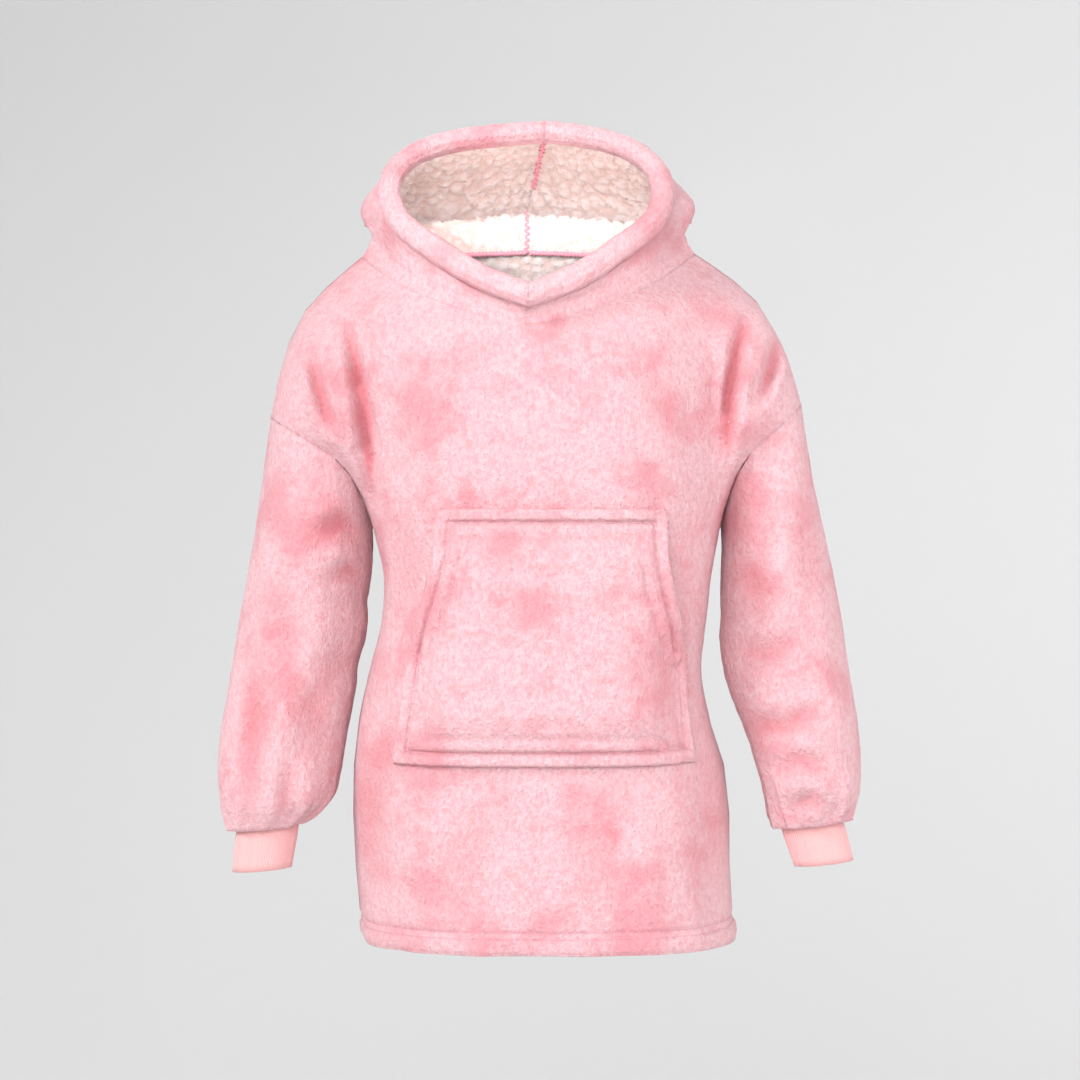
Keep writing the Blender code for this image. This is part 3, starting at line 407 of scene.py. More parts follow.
def nearest_on_bones(points, bones):
    """The nearest point to each point on a set of straight lines."""
    best = None
    for start, end in bones:
        start, end = np.array(start), np.array(end)
        run = end - start
        share = np.clip((points - start) @ run / (run @ run), 0.0, 1.0)
        there = start + share[:, None] * run
        away = np.linalg.norm(points - there, axis=1)
        if best is None:
            best, nearest = away, there
        else:
            closer = away < best
            best = np.where(closer, away, best)
            nearest = np.where(closer[:, None], there, nearest)
    return nearest


def facing(points, normals, bones):
    """How far each normal looks away from the middle of the hollow, from -1 to 1."""
    outwards = unit(points - nearest_on_bones(points, bones))
    return (outwards * normals).sum(axis=1)


def towards_front(points, bones):
    """From 1 well in front of the middle of the hollow to -1 well behind it."""
    return (nearest_on_bones(points, bones)[:, 1] - points[:, 1]) / FRONT_REACH


def crease_moves(points, front, creases):
    """How far the creases move each point along Y, and how deep that is."""
    depth = np.zeros(len(points))
    move = np.zeros(len(points))
    plane = points[:, [0, 2]]
    for side, half_width, deepest, *run in creases:
        sign = 1.0 if side == "front" else -1.0
        shown = ease(sign * front)
        run = np.array(run)
        lengths = np.linalg.norm(np.diff(run, axis=0), axis=1)
        starts = np.concatenate([[0.0], np.cumsum(lengths)])
        away = np.full(len(points), 1e9)
        along = np.zeros(len(points))
        for k, length in enumerate(lengths):
            step = run[k + 1] - run[k]
            share = np.clip((plane - run[k]) @ step / length**2, 0.0, 1.0)
            there = np.linalg.norm(plane - run[k] - share[:, None] * step, axis=1)
            closer = there < away
            away = np.where(closer, there, away)
            along = np.where(closer, (starts[k] + share * length) / starts[-1], along)
        fade = np.sin(math.pi * (CREASE_END + (1.0 - 2.0 * CREASE_END) * along))
        wide = away / half_width
        shape = np.exp(-(wide**2)) - CREASE_RIDGE * np.exp(-(((wide - 1.9) / 0.8) ** 2))
        crease_amount = deepest * fade * shape * shown * sizes().crease_depth
        depth += crease_amount
        move += sign * crease_amount
    return move, depth


def cloth_move(piece, bones, creases):
    """Crease a wall of the body or a sleeve, and give its two sides their pile.

    Returns which points lie on its inner side, for its finish.
    """
    points = points_of(piece)
    normals = normals_of(piece)
    rim = rim_weights(piece)
    out = facing(points, normals, bones)
    away = rim_distances(points, rim)
    free = ease(away / FREE_FROM)
    held = (rim > HELD).astype(float)
    move, depth = crease_moves(points, towards_front(points, bones), creases)
    kept = ease(away / CREASE_FROM)
    valley = SEAM_VALLEY * np.exp(-((away / SEAM_VALLEY_WIDTH) ** 2)) * (1.0 - held)
    nap = sizes().nap_height * (
        grain(points, sizes().nap_size * 1.8, 1.0) + 0.7 * grain(points, sizes().nap_size, 2.0)
    )
    curl = curls(points, sizes().curl_size, 3.0)
    outside = out >= INSIDE_TURN
    outer = nap * free - valley
    inner = (curl - 0.5) * sizes().curl_height * INNER_PILE * free
    groove = hem_grooves(points) if creases is BODY_CREASES else 0.0
    # share of each crease's depth, by which the fleece paints shade in the creases
    add_attribute(piece, "crease", np.clip(depth / CREASE_DARK, 0.0, 1.0) * outside)
    if creases is not BODY_CREASES:
        points += gathers(points, bones, kept)
    points += normals * (np.where(outside, outer - groove, inner) + SEAM_CLOSE * held)[:, None]
    points[:, 1] += move * kept
    set_points(piece, points)
    # the curls' height inside, by which the sherpa paints shade between its curls
    add_attribute(piece, "pile", np.where(outside, 0.5 + 0.5 * grain(points, 0.02, 4.0), curl))
    return ~outside


def gathers(points, bones, kept):
    """How the sleeve's full end puckers where it is gathered into the cuff."""
    middle = nearest_on_bones(points, bones)
    outwards = points - middle
    turn = np.arctan2(outwards[:, 1], outwards[:, 0])
    above = np.maximum(points[:, 2] - points[:, 2].min(), 0.0)
    wave = np.sin(turn * 13.0 + 1.3 * np.sin(turn * 3.0)) + 0.5 * np.sin(turn * 22.0 + 1.0)
    size = GATHER_HEIGHT * np.exp(-((above / GATHER_REACH) ** 2)) * wave * kept
    return unit(outwards) * size[:, None]


def hem_grooves(points):
    """How deep the hem's rows of stitches press the cloth in."""
    above = points[:, 2] - HEM_EDGE
    return sum(HEM_GROOVE * np.exp(-(((above - row) / HEM_GROOVE_WIDTH) ** 2))
               for row in HEM_ROWS)


def two_finishes(piece, inner_points, outer, inner, turned_below=None):
    """Give a wall's outer side one finish and its inner side another."""
    piece.data.materials.append(outer)
    piece.data.materials.append(inner)
    corners = np.empty(len(piece.data.loops), np.int32)
    piece.data.loops.foreach_get("vertex_index", corners)
    corners = corners.reshape(-1, 3)
    inside = inner_points[corners].sum(axis=1) > 1
    if turned_below is not None:
        inside &= points_of(piece)[corners][:, :, 2].mean(axis=1) > turned_below
    piece.data.polygons.foreach_set("material_index", inside.astype(np.int32))
    piece.data.update()


def declare(piece, node):
    """Ride on the body and stand for the solid."""
    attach(piece, BODY)
    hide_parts(node)


# Materials


def node_group(name, inputs, outputs):
    """A shader node group with named sockets, and its input and output nodes."""
    group = bpy.data.node_groups.new(name, "ShaderNodeTree")
    for label, kind, default in inputs:
        socket = group.interface.new_socket(label, in_out="INPUT", socket_type=kind)
        socket.default_value = default
    for label, kind in outputs:
        group.interface.new_socket(label, in_out="OUTPUT", socket_type=kind)
    start = group.nodes.new("NodeGroupInput")
    end = group.nodes.new("NodeGroupOutput")
    return group, start, end


def add_noise(tree, vector, scale, detail, roughness=0.5):
    node = tree.nodes.new("ShaderNodeTexNoise")
    node.inputs["Scale"].default_value = scale
    node.inputs["Detail"].default_value = detail
    node.inputs["Roughness"].default_value = roughness
    tree.links.new(vector, node.inputs["Vector"])
    return node.outputs["Fac"]


def add_math(tree, operation, first, second, clamp=False):
    node = tree.nodes.new("ShaderNodeMath")
    node.operation = operation
    node.use_clamp = clamp
    for socket, value in zip(node.inputs, (first, second)):
        if isinstance(value, (int, float)):
            socket.default_value = value
        else:
            tree.links.new(value, socket)
    return node.outputs[0]


def add_range(tree, value, low, high, out_low=0.0, out_high=1.0):
    node = tree.nodes.new("ShaderNodeMapRange")
    node.interpolation_type = "SMOOTHSTEP"
    for label, number in (("From Min", low), ("From Max", high), ("To Min", out_low),
                          ("To Max", out_high)):
        node.inputs[label].default_value = number
    tree.links.new(value, node.inputs["Value"])
    return node.outputs["Result"]


def add_mix(tree, factor, first, second, blend="MIX"):
    node = tree.nodes.new("ShaderNodeMix")
    node.data_type = "RGBA"
    node.blend_type = blend
    sockets = {s.identifier: s for s in node.inputs}
    for identifier, value in (("Factor_Float", factor), ("A_Color", first), ("B_Color", second)):
        if isinstance(value, (int, float)):
            sockets[identifier].default_value = value
        elif isinstance(value, (tuple, list)) or hasattr(value, "foreach_get"):
            sockets[identifier].default_value = value
        else:
            tree.links.new(value, sockets[identifier])
    return next(s for s in node.outputs if s.identifier == "Result_Color")


def add_mapping(tree, vector, scale):
    node = tree.nodes.new("ShaderNodeMapping")
    node.inputs["Scale"].default_value = scale
    tree.links.new(vector, node.inputs["Vector"])
    return node.outputs["Vector"]


def make_nap_group():
    """Brushed nap: where the pile is pushed another way, and the height of its fibres."""
    group, start, end = node_group(
        "Brushed nap",
        (("Vector", "NodeSocketVector", (0.0, 0.0, 0.0)),),
        (("Brushed", "NodeSocketFloat"), ("Fibre", "NodeSocketFloat"),
         ("Height", "NodeSocketFloat")))
    vector = start.outputs["Vector"]
    wide = add_noise(group, vector, 11.0, 3.0, 0.55)
    patch = add_noise(group, vector, 34.0, 4.0, 0.6)
    brushed = add_math(group, "ADD", add_range(group, wide, 0.47, 0.68),
                       add_range(group, patch, 0.54, 0.68, 0.0, 0.5), True)
    tufts = add_noise(group, add_mapping(group, vector, (1.0, 1.0, 0.7)), 190.0, 2.0, 0.55)
    strokes = add_noise(group, add_mapping(group, vector, (1.0, 1.0, 0.6)), 420.0, 3.0, 0.65)
    fibres = add_noise(group, add_mapping(group, vector, (1.0, 1.0, 0.45)), 1300.0, 2.0, 0.6)
    pile = add_math(group, "ADD", add_math(group, "MULTIPLY", tufts, 0.5),
                    add_math(group, "MULTIPLY", strokes, 0.5))
    fibre = add_range(group, pile, 0.36, 0.62)
    height = add_math(group, "ADD", pile, add_math(group, "MULTIPLY", fibres, 0.18))
    group.links.new(brushed, end.inputs["Brushed"])
    group.links.new(fibre, end.inputs["Fibre"])
    group.links.new(height, end.inputs["Height"])
    return group


def plain_material(name, roughness, sheen, sheen_colour):
    material = bpy.data.materials.new(name)
    material.use_nodes = True
    shader = material.node_tree.nodes["Principled BSDF"]
    shader.inputs["Roughness"].default_value = roughness
    shader.inputs["Specular IOR Level"].default_value = 0.2
    shader.inputs["Sheen Weight"].default_value = sheen
    shader.inputs["Sheen Roughness"].default_value = 0.45
    shader.inputs["Sheen Tint"].default_value = sheen_colour
    return material, material.node_tree, shader


def add_bump(tree, shader, height, strength, distance):
    bump = tree.nodes.new("ShaderNodeBump")
    bump.inputs["Strength"].default_value = strength
    bump.inputs["Distance"].default_value = distance
    tree.links.new(height, bump.inputs["Height"])
    tree.links.new(bump.outputs["Normal"], shader.inputs["Normal"])


# a darker copy of a colour, for painted shade
def shaded(colour, factor):
    return (colour[0] * factor, colour[1] * factor, colour[2] * factor, 1.0)


# painted shade: the deep pink the fleece is given in its creases, where shade falls
CREASE_SHADE_PINK = (0.80, 0.17, 0.21, 1.0)


def fleece_material(name, nap):
    """Flannel fleece: two pinks in soft brushed patches, with short fibres over them, painted shade
    between the fibres and a deeper pink painted as shade in the creases.
    """
    material, tree, shader = plain_material(name, 0.88, 0.35, (1.0, 0.84, 0.85, 1.0))
    place = tree.nodes.new("ShaderNodeTexCoord").outputs["Object"]
    pile = tree.nodes.new("ShaderNodeGroup")
    pile.node_tree = nap
    tree.links.new(place, pile.inputs["Vector"])
    deep = tuple(colours().fleece_deep)
    plain = tuple(colours().fleece)
    base = add_mix(tree, add_math(tree, "MULTIPLY", pile.outputs["Brushed"], 0.62), plain, deep)
    shadow = add_math(tree, "SUBTRACT", 1.0, pile.outputs["Fibre"])
    base = add_mix(tree, add_math(tree, "MULTIPLY", shadow, 0.46), base, shaded(deep, 0.94))
    # painted shade in the creases, by their depth
    crease = tree.nodes.new("ShaderNodeAttribute")
    crease.attribute_name = "crease"
    crease_amount = add_math(tree, "MULTIPLY", crease.outputs["Fac"], 0.75)
    base = add_mix(tree, crease_amount, base, CREASE_SHADE_PINK)
    tree.links.new(base, shader.inputs["Base Color"])
    tree.links.new(add_range(tree, pile.outputs["Fibre"], 0.0, 1.0, 0.95, 0.80),
                   shader.inputs["Roughness"])
    add_bump(tree, shader, pile.outputs["Height"], 1.0, 0.0085)
    return material


def sherpa_material(name):
    """Curly sherpa: creamy white curls with painted shade down between them and between their loops,
    warmed like light thrown back from the pink cloth.
    """
    material, tree, shader = plain_material(name, 0.95, 0.30, (1.0, 0.97, 0.96, 1.0))
    place = tree.nodes.new("ShaderNodeTexCoord").outputs["Object"]
    pile = tree.nodes.new("ShaderNodeAttribute")
    pile.attribute_name = "pile"
    loops = add_noise(tree, place, 520.0, 3.0, 0.65)
    height = add_range(tree, pile.outputs["Fac"], 0.05, 0.75)
    base = add_mix(tree, height, tuple(colours().sherpa_crevice_shade), tuple(colours().sherpa))
    base = add_mix(tree, add_range(tree, loops, 0.35, 0.6, 0.22, 0.0), base,
                   tuple(colours().sherpa_crevice_shade))
    tree.links.new(base, shader.inputs["Base Color"])
    add_bump(tree, shader, loops, 1.0, 0.0045)
    return material


def rib_material(name):
    """Rib knit: paler ribs, with painted shade in the valleys between them and between the small
    stitches.
    """
    material, tree, shader = plain_material(name, 0.90, 0.20, (1.0, 0.90, 0.90, 1.0))
    place = tree.nodes.new("ShaderNodeTexCoord").outputs["Object"]
    rib = tree.nodes.new("ShaderNodeAttribute")
    rib.attribute_name = "pile"
    knit = add_noise(tree, add_mapping(tree, place, (1.0, 1.0, 1.6)), 700.0, 2.0)
    base = add_mix(tree, rib.outputs["Fac"], shaded(colours().rib, 0.80), tuple(colours().rib))
    base = add_mix(tree, add_range(tree, knit, 0.35, 0.65, 0.15, 0.0), base,
                   shaded(colours().fleece_deep, 0.9))
    tree.links.new(base, shader.inputs["Base Color"])
    add_bump(tree, shader, knit, 0.6, 0.0006)
    return material


def thread_material(name):
    """Spun thread, with a fine twist whose grooves are darkened with painted shade."""
    material, tree, shader = plain_material(name, 0.70, 0.15, (1.0, 0.9, 0.9, 1.0))
    place = tree.nodes.new("ShaderNodeTexCoord").outputs["Object"]
    twist = add_noise(tree, place, 1500.0, 2.0)
    base = add_mix(tree, twist, shaded(colours().thread, 0.75), tuple(colours().thread))
    tree.links.new(base, shader.inputs["Base Color"])
    add_bump(tree, shader, twist, 0.5, 0.0004)
    return material


def material(kind):
    """The finish of that kind, made once."""
    found = bpy.data.materials.get(kind)
    if found is not None:
        return found
    if kind == "fleece":
        nap = bpy.data.node_groups.get("Brushed nap") or make_nap_group()
        return fleece_material(kind, nap)
    return {"sherpa": sherpa_material, "rib": rib_material, "thread": thread_material}[kind](kind)


# Pieces


class HoodieBody(bpy.types.Operator):
    """Make the front and back panels, fleece outside and sherpa inside."""

    bl_idname = "hoodie.body"
    bl_label = "Body panels"

    def execute(self, context):
        for side in ("front", "back"):
            piece = fine_wall(side + "_panel", side + "_cloth", 6, 22)
            inner = cloth_move(piece, BODY_BONES, BODY_CREASES)
            two_finishes(piece, inner, material("fleece"), material("sherpa"),
                         HEM_EDGE + HEM_TURN)
            declare(piece, side + "_panel")
        return {"FINISHED"}


class HoodieSleeves(bpy.types.Operator):
    """Make the two sleeves, fleece outside and sherpa inside."""

    bl_idname = "hoodie.sleeves"
    bl_label = "Sleeves"

    def execute(self, context):
        for side in ("left", "right"):
            piece = fine_wall("sleeve_" + side, "sleeve_" + side + "_cloth", 7, 22)
            inner = cloth_move(piece, SLEEVE_BONES[side], SLEEVE_CREASES[side])
            two_finishes(piece, inner, material("fleece"), material("sherpa"))
            declare(piece, "sleeve_" + side)
        return {"FINISHED"}


class HoodieCuffs(bpy.types.Operator):
    """Make the rib cuffs, with rounded ribs outside and painted shade in the valleys between them.
    """

    bl_idname = "hoodie.cuffs"
    bl_label = "Rib cuffs"

    def execute(self, context):
        for side in ("left", "right"):
            node = "cuff_" + side
            piece = fine_wall(node, node + "_knit", 3, 3)
            points = points_of(piece)
            low, high = (np.array(corner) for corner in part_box(node))
            share = (points[:, 2] - low[2]) / (high[2] - low[2])
            top, bottom = CUFF_MIDDLES[side]
            middle = np.outer(share, top) + np.outer(1.0 - share, bottom)
            turn = np.arctan2(points[:, 1] - middle[:, 1], points[:, 0] - middle[:, 0])
            # the ribs' places round the cuff, by which the rib knit paints shade in the valleys
            # between them
            add_attribute(piece, "pile", 0.5 + 0.5 * np.cos(turn * RIBS))
            piece.data.materials.append(material("rib"))
            declare(piece, node)
        return {"FINISHED"}


def pile_piece(node, name, cuts, rounds, finish, height, creases=(), bones=None):
    """A smoothed wall with one pile all over: nap on fleece, curls on sherpa.

    With bones, fleece keeps its pile on the side that looks away from them, and sherpa on the
    side that looks at them.
    """
    piece = fine_wall(node, name, cuts, rounds, finish == "sherpa")
    points = points_of(piece)
    normals = normals_of(piece)
    rim = rim_weights(piece)
    away = rim_distances(points, rim)
    held = (rim > HELD).astype(float)
    free = ease(away / FREE_FROM)
    if bones is not None:
        out = facing(points, normals, bones)
        free *= ease(0.5 + 2.0 * (-out if finish == "sherpa" else out))
    if finish == "sherpa":
        pile = 0.72 * curls(points, sizes().curl_size, 5.0)
        pile += 0.28 * curls(points, sizes().curl_size * 0.45, 8.0)
        lift = (pile - 0.27) * height
    else:
        pile = grain(points, sizes().nap_size * 1.6, 6.0)
        lift = pile * height + 0.6 * height * grain(points, sizes().nap_size * 0.8, 7.0)
        lift -= SEAM_VALLEY * np.exp(-((away / SEAM_VALLEY_WIDTH) ** 2)) * (1.0 - held)
    move, depth = crease_moves(points, towards_front(points, bones or HOOD_BONES), creases)
    points += normals * (lift * free + SEAM_CLOSE * held)[:, None]
    points[:, 1] += move * ease(away / CREASE_FROM)
    set_points(piece, points)
    # the pile's height, by which sherpa paints shade between its curls, and each crease's depth, by
    # which fleece paints shade in the creases
    add_attribute(piece, "pile", pile)
    add_attribute(piece, "crease", np.clip(depth / CREASE_DARK, 0.0, 1.0))
    piece.data.materials.append(material(finish))
    return piece


class HoodieHood(bpy.types.Operator):
    """Make the hood's two fleece halves."""

    bl_idname = "hoodie.hood"
    bl_label = "Hood"

    def execute(self, context):
        for side in ("left", "right"):
            piece = pile_piece("hood_" + side, "hood_" + side + "_cloth", 7, 18, "fleece",
                               sizes().nap_height, HOOD_CREASES, HOOD_BONES)
            declare(piece, "hood_" + side)
        return {"FINISHED"}


class HoodieLining(bpy.types.Operator):
    """Make the hood's curly sherpa lining."""

    bl_idname = "hoodie.lining"
    bl_label = "Hood lining"

    def execute(self, context):
        for side in ("left", "right"):
            piece = pile_piece("hood_lining_" + side, "hood_lining_" + side + "_cloth", 10, 24,
                               "sherpa", sizes().curl_height, HOOD_CREASES, HOOD_BONES)
            declare(piece, "hood_lining_" + side)
        return {"FINISHED"}


class HoodieBand(bpy.types.Operator):
    """Make the padded roll round the face opening."""

    bl_idname = "hoodie.band"
    bl_label = "Edge band"

    def execute(self, context):
        for side in ("left", "right"):
            piece = pile_piece("hood_band_" + side, "hood_band_" + side + "_cloth", 8, 12,
                               "fleece", sizes().nap_height * 1.5)
            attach(piece, BODY)
            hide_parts("hood_band_" + side)
        return {"FINISHED"}


class HoodiePocket(bpy.types.Operator):
    """Make the pocket with its padded border."""

    bl_idname = "hoodie.pocket"
    bl_label = "Pocket"

    def execute(self, context):
        piece = pile_piece("pocket", "pocket_cloth", 8, 6, "fleece", sizes().nap_height)
        points = points_of(piece)
        normals = normals_of(piece)
        away = rim_distances(points, rim_weights(piece))
        across = np.clip(away / BORDER_WIDTH, 0.0, 1.0)
        border = BORDER_PUFF * np.sin(math.pi * across) * (across < 1.0)
        groove = BORDER_GROOVE * np.exp(-(((away - BORDER_WIDTH) / BORDER_GROOVE_WIDTH) ** 2))
        front = ease(-normals[:, 1] * 2.0)
        points += normals * ((border - groove) * front)[:, None]
        set_points(piece, points)
        declare(piece, "pocket")
        return {"FINISHED"}


def tube(shape, path, radius, sides):
    """Add a closed round tube along a path of points to a growing mesh."""
    start = len(shape["points"])
    count = len(path)
    for k, point in enumerate(path):
        before, after = path[max(k - 1, 0)], path[min(k + 1, count - 1)]
        run = (after - before).normalized()
        side = run.orthogonal().normalized() if k == 0 else (side - run * side.dot(run)).normalized()
        up = run.cross(side)
        thin = 0.55 if k in (0, count - 1) else 1.0
        for turn in range(sides):
            angle = 2.0 * math.pi * turn / sides
            away = side * math.cos(angle) + up * math.sin(angle)
            shape["points"].append(point + away * radius * thin)
    for k in range(count - 1):
        for turn in range(sides):
            here, there = start + k * sides, start + (k + 1) * sides
            after = (turn + 1) % sides
            shape["faces"].append((here + turn, here + after, there + after, there + turn))
    shape["faces"].append(tuple(start + turn for turn in reversed(range(sides))))
    shape["faces"].append(tuple(start + (count - 1) * sides + turn for turn in range(sides)))


def evenly(path, step):
    """Points at equal steps along a path."""
    path = np.array([tuple(point) for point in path])
    lengths = np.concatenate([[0.0], np.cumsum(np.linalg.norm(np.diff(path, axis=0), axis=1))])
    count = max(2, int(lengths[-1] / step))
    at = np.linspace(0.0, lengths[-1], count + 1)
    return [Vector(point) for point in
            np.stack([np.interp(at, lengths, path[:, axis]) for axis in range(3)], axis=1)]


def softened(path, width):
    """The path with each point moved to the mean of its neighbours, the ends held."""
    path = np.array([tuple(point) for point in path])
    padded = np.pad(path, ((width, width), (0, 0)), mode="reflect", reflect_type="odd")
    weights = np.ones(2 * width + 1) / (2 * width + 1)
    return [Vector(point) for point in
            np.stack([np.convolve(padded[:, axis], weights, "valid") for axis in range(3)], axis=1)]


def stitch_row(shape, path):
    """Add a row of short stitches along a path."""
    places = evenly(path, STITCH_PITCH)
    for here, there in zip(places, places[1:]):
        run = (there - here).normalized() * 0.5 * STITCH_LENGTH
        middle = 0.5 * (here + there)
        tube(shape, [middle - run, middle - 0.5 * run, middle + 0.5 * run, middle + run],
             STITCH_RADIUS, STITCH_SIDES)


def surface(*names):
    """A tree of the surfaces of the pieces of those names, to drop stitches on."""
    shape = bmesh.new()
    for name in names:
        shape.from_mesh(bpy.data.objects[name].data)
    tree = BVHTree.FromBMesh(shape)
    shape.free()
    return tree


def hem_path(tree, height):
    """The line round the garment's outside at that height."""
    path = []
    for k in range(HEM_STEPS + 1):
        turn = 2.0 * math.pi * k / HEM_STEPS
        out = Vector((math.cos(turn), math.sin(turn), 0.0))
        start = Vector((0.0, -0.01, height)) + out
        hit = tree.ray_cast(start, -out)[0]
        if hit is not None:
            path.append(hit + out * STITCH_LIFT)
    return path


def seam_path(first, second, reach, turn):
    """The inner line of the seam between two pieces, in runs that turn puts in order."""
    one, other = bpy.data.objects[first], bpy.data.objects[second]
    points, weights = points_of(one), rim_weights(one)
    there, other_weights = points_of(other), rim_weights(other)
    tree = kdtree.KDTree(len(there))
    for index in np.flatnonzero(other_weights > HELD):
        tree.insert(there[index], int(index))
    tree.balance()
    held = [points[k] for k in np.flatnonzero(weights > HELD) if tree.find(points[k])[2] < reach]
    held = np.array(held)
    middle = nearest_on_bones(held, HOOD_BONES)
    away = np.linalg.norm(held - middle, axis=1)
    angles = turn(held)
    path = []
    for start in np.arange(angles.min(), angles.max(), SEAM_STEP):
        near = np.flatnonzero((angles >= start) & (angles < start + SEAM_STEP))
        if len(near):
            path.append(Vector(held[near[np.argmin(away[near])]]))
    runs = [[path[0]]]
    for here, there in zip(path, path[1:]):
        if (there - here).length > SEAM_BREAK:
            runs.append([])
        runs[-1].append(there)
    return [run for run in runs if len(run) > 3]


def overlock(shape, path, swing, pitch, radius):
    """Add an overlock thread that winds along a path."""
    places = evenly(softened(path, 3), pitch / 8.0)
    middle = Vector(HOOD_BONES[0][0]).lerp(Vector(HOOD_BONES[0][1]), 0.5)
    wound = []
    for k, place in enumerate(places):
        run = (places[min(k + 1, len(places) - 1)] - places[max(k - 1, 0)]).normalized()
        inwards = (middle - place)
        inwards = (inwards - run * inwards.dot(run)).normalized()
        across = run.cross(inwards)
        turn = 2.0 * math.pi * k / 8.0
        wound.append(place + across * swing * math.sin(turn)
                     + inwards * (OVERLOCK_LIFT + 0.4 * swing * math.cos(2.0 * turn)))
    tube(shape, wound, radius, 8)


class HoodieSewing(bpy.types.Operator):
    """Sew the hem, the pocket and the hood's overlocked seams."""

    bl_idname = "hoodie.sewing"
    bl_label = "Sewing"

    def execute(self, context):
        shape = {"points": [], "faces": []}
        body = surface("front_cloth", "back_cloth")
        for row in HEM_ROWS:
            stitch_row(shape, hem_path(body, HEM_EDGE + row))
        pocket = surface("pocket_cloth")
        line = []
        for here, there in zip(POCKET_LINE, POCKET_LINE[1:]):
            for share in np.linspace(0.0, 1.0, 12, endpoint=False):
                x = here[0] + share * (there[0] - here[0])
                z = here[1] + share * (there[1] - here[1])
                hit = pocket.ray_cast(Vector((x, -0.6, z)), Vector((0.0, 1.0, 0.0)))[0]
                if hit is not None:
                    line.append(hit + Vector((0.0, -STITCH_LIFT, 0.0)))
        stitch_row(shape, line)
        centre = seam_path("hood_lining_left_cloth", "hood_lining_right_cloth", 0.0025,
                           lambda held: np.arctan2(held[:, 2] - 0.02, -held[:, 1] - 0.02))
        for run in centre:
            overlock(shape, run, OVERLOCK_SWING, OVERLOCK_PITCH, OVERLOCK_RADIUS)
        for side in ("left", "right"):
            neck = seam_path("hood_lining_" + side + "_cloth", "back_cloth", 0.0035,
                             lambda held: np.arctan2(held[:, 0] + 0.012, held[:, 1]))
            for run in neck:
                overlock(shape, run, NECK_SWING, NECK_PITCH, NECK_CORD_RADIUS)
        mesh = bpy.data.meshes.new("sewing")
        mesh.from_pydata([tuple(point) for point in shape["points"]], [], shape["faces"])
        mesh.materials.append(material("thread"))
        piece = new_piece("sewing", mesh)
        activate(piece)
        bpy.ops.object.shade_smooth()
        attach(piece, BODY)
        return {"FINISHED"}


class HoodieStage(bpy.types.Operator):
    """Set the pale floor, the soft lights and the camera."""

    bl_idname = "hoodie.stage"
    bl_label = "Stage"

    def execute(self, context):
        add_floor()
        add_lights()
        camera = bpy.data.objects.new("Camera", bpy.data.cameras.new("Camera"))
        camera.location = CAMERA_PLACE
        camera.rotation_euler = (math.radians(90.0), 0.0, 0.0)
        camera.data.lens = CAMERA_LENS
        camera.data.sensor_width = CAMERA_SENSOR
        bpy.context.scene.collection.objects.link(camera)
        bpy.context.scene.camera = camera
        return {"FINISHED"}


def add_floor():
    """A round floor that curves up into a wall far behind, so no edge shows."""
    bpy.ops.object.select_all(action="DESELECT")
    bpy.ops.mesh.primitive_circle_add(vertices=128, radius=FLOOR_RADIUS, fill_type="NGON",
                                      location=(0.0, 0.0, FLOOR_HEIGHT))
    floor = bpy.context.object
    floor.name = "floor"
    bpy.ops.object.mode_set(mode="EDIT")
    bpy.ops.mesh.select_all(action="SELECT")
    steps = 16
    for step in range(steps):
        here = math.radians(90.0) * step / steps
        there = math.radians(90.0) * (step + 1) / steps
        radius = FLOOR_RADIUS + FLOOR_RISE * math.sin(here)
        wider = FLOOR_RADIUS + FLOOR_RISE * math.sin(there)
        lift = FLOOR_RISE * (math.cos(here) - math.cos(there))
        bpy.ops.mesh.extrude_region_move(TRANSFORM_OT_translate={"value": (0.0, 0.0, lift)})
        bpy.ops.transform.resize(value=(wider / radius, wider / radius, 1.0),
                                 center_override=(0.0, 0.0, 0.0))
    bpy.ops.mesh.delete(type="ONLY_FACE")
    bpy.ops.object.mode_set(mode="OBJECT")
    bpy.ops.object.shade_smooth()
    paper = bpy.data.materials.new("floor")
    paper.use_nodes = True
    shader = paper.node_tree.nodes["Principled BSDF"]
    shader.inputs["Base Color"].default_value = (0.72, 0.72, 0.723, 1.0)
    shader.inputs["Roughness"].default_value = 1.0
    shader.inputs["Specular IOR Level"].default_value = 0.1
    floor.data.materials.append(paper)


def hang_light(lamp, place, aim=(0.0, 0.0, CAMERA_PLACE[2])):
    """Hang a lamp at that place, turned towards the garment."""
    light = bpy.data.objects.new(lamp.name, lamp)
    light.location = place
    run = Vector(aim) - light.location
    light.rotation_euler = run.to_track_quat("-Z", "Y").to_euler()
    bpy.context.scene.collection.objects.link(light)
    return light


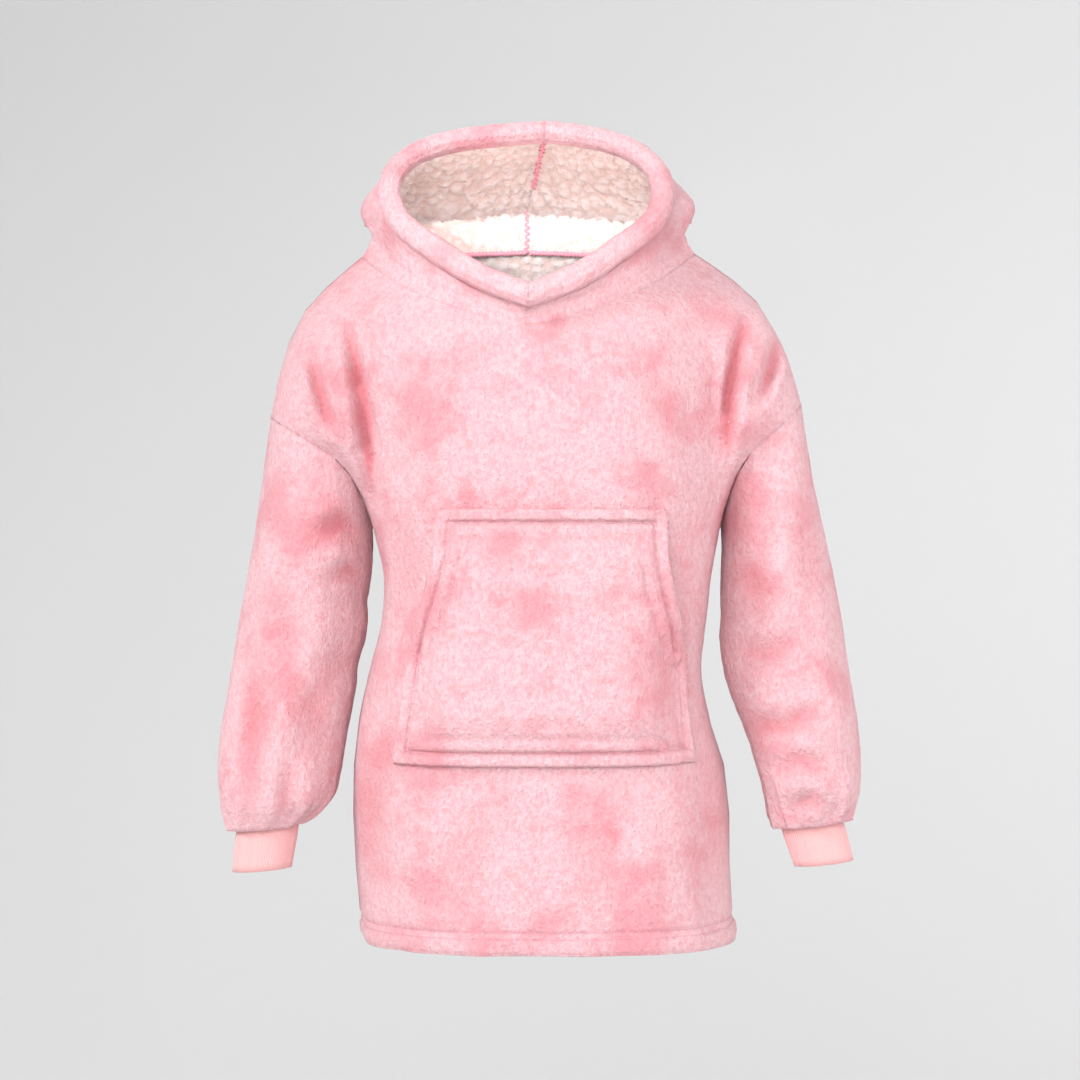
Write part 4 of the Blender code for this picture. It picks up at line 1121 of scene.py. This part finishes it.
def add_lights():
    """Broad soft light: a key from the left, a fill from the right, and some from behind."""
    for name, place, spread, power in SUNS:
        lamp = bpy.data.lights.new(name, "SUN")
        lamp.angle = math.radians(spread)
        lamp.energy = power
        hang_light(lamp, place)
    for name, place, width, power in FRONT_LIGHTS:
        lamp = bpy.data.lights.new(name, "AREA")
        lamp.size = width
        lamp.energy = power
        hang_light(lamp, place).visible_camera = False
    for name, place, aim, cone, power, colour in HOOD_LIGHTS:
        lamp = bpy.data.lights.new(name, "SPOT")
        lamp.spot_size = math.radians(cone)
        lamp.spot_blend = 1.0
        lamp.shadow_soft_size = 0.15
        lamp.energy = power
        lamp.color = colour
        hang_light(lamp, place, aim)
    lamp = bpy.data.lights.new("Hood bounce", "AREA")
    lamp.shape = "RECTANGLE"
    lamp.size, lamp.size_y = HOOD_BOUNCE_SIZE
    lamp.energy = HOOD_BOUNCE_POWER
    lamp.color = HOOD_BOUNCE_COLOUR
    hang_light(lamp, HOOD_BOUNCE, HOOD_BOUNCE_AIM).visible_camera = False
    world = bpy.data.worlds.new("Soft studio")
    world.use_nodes = True
    world.node_tree.nodes["Background"].inputs["Color"].default_value = (1.0, 1.0, 1.0, 1.0)
    world.node_tree.nodes["Background"].inputs["Strength"].default_value = SKY_STRENGTH
    bpy.context.scene.world = world
    bpy.context.scene.view_settings.view_transform = "Standard"


OPERATORS = (HoodieBody, HoodieSleeves, HoodieCuffs, HoodieHood, HoodieLining, HoodieBand,
             HoodiePocket, HoodieSewing, HoodieStage)


class HoodiePanel(bpy.types.Panel):
    """Lists the hoodie's sizes, colours and steps."""

    bl_idname = "HOODIE_PT_panel"
    bl_label = "Blanket Hoodie"
    bl_space_type = "VIEW_3D"
    bl_region_type = "UI"
    bl_category = "Hoodie"

    def draw(self, context):
        for group in (context.scene.hoodie_sizes, context.scene.hoodie_colours):
            for name in group.bl_rna.properties.keys():
                if name not in ("rna_type", "name"):
                    self.layout.prop(group, name)
        for step in OPERATORS:
            self.layout.operator(step.bl_idname)


CLASSES = (HoodieSizes, HoodieColours, *OPERATORS, HoodiePanel)


def register():
    for each in CLASSES:
        bpy.utils.register_class(each)
    bpy.types.Scene.hoodie_sizes = bpy.props.PointerProperty(type=HoodieSizes)
    bpy.types.Scene.hoodie_colours = bpy.props.PointerProperty(type=HoodieColours)


def unregister():
    del bpy.types.Scene.hoodie_colours
    del bpy.types.Scene.hoodie_sizes
    for each in reversed(CLASSES):
        bpy.utils.unregister_class(each)


def main():
    register()
    for step in OPERATORS:
        group, name = step.bl_idname.split(".")
        getattr(getattr(bpy.ops, group), name)()


if __name__ == "__main__":
    main()
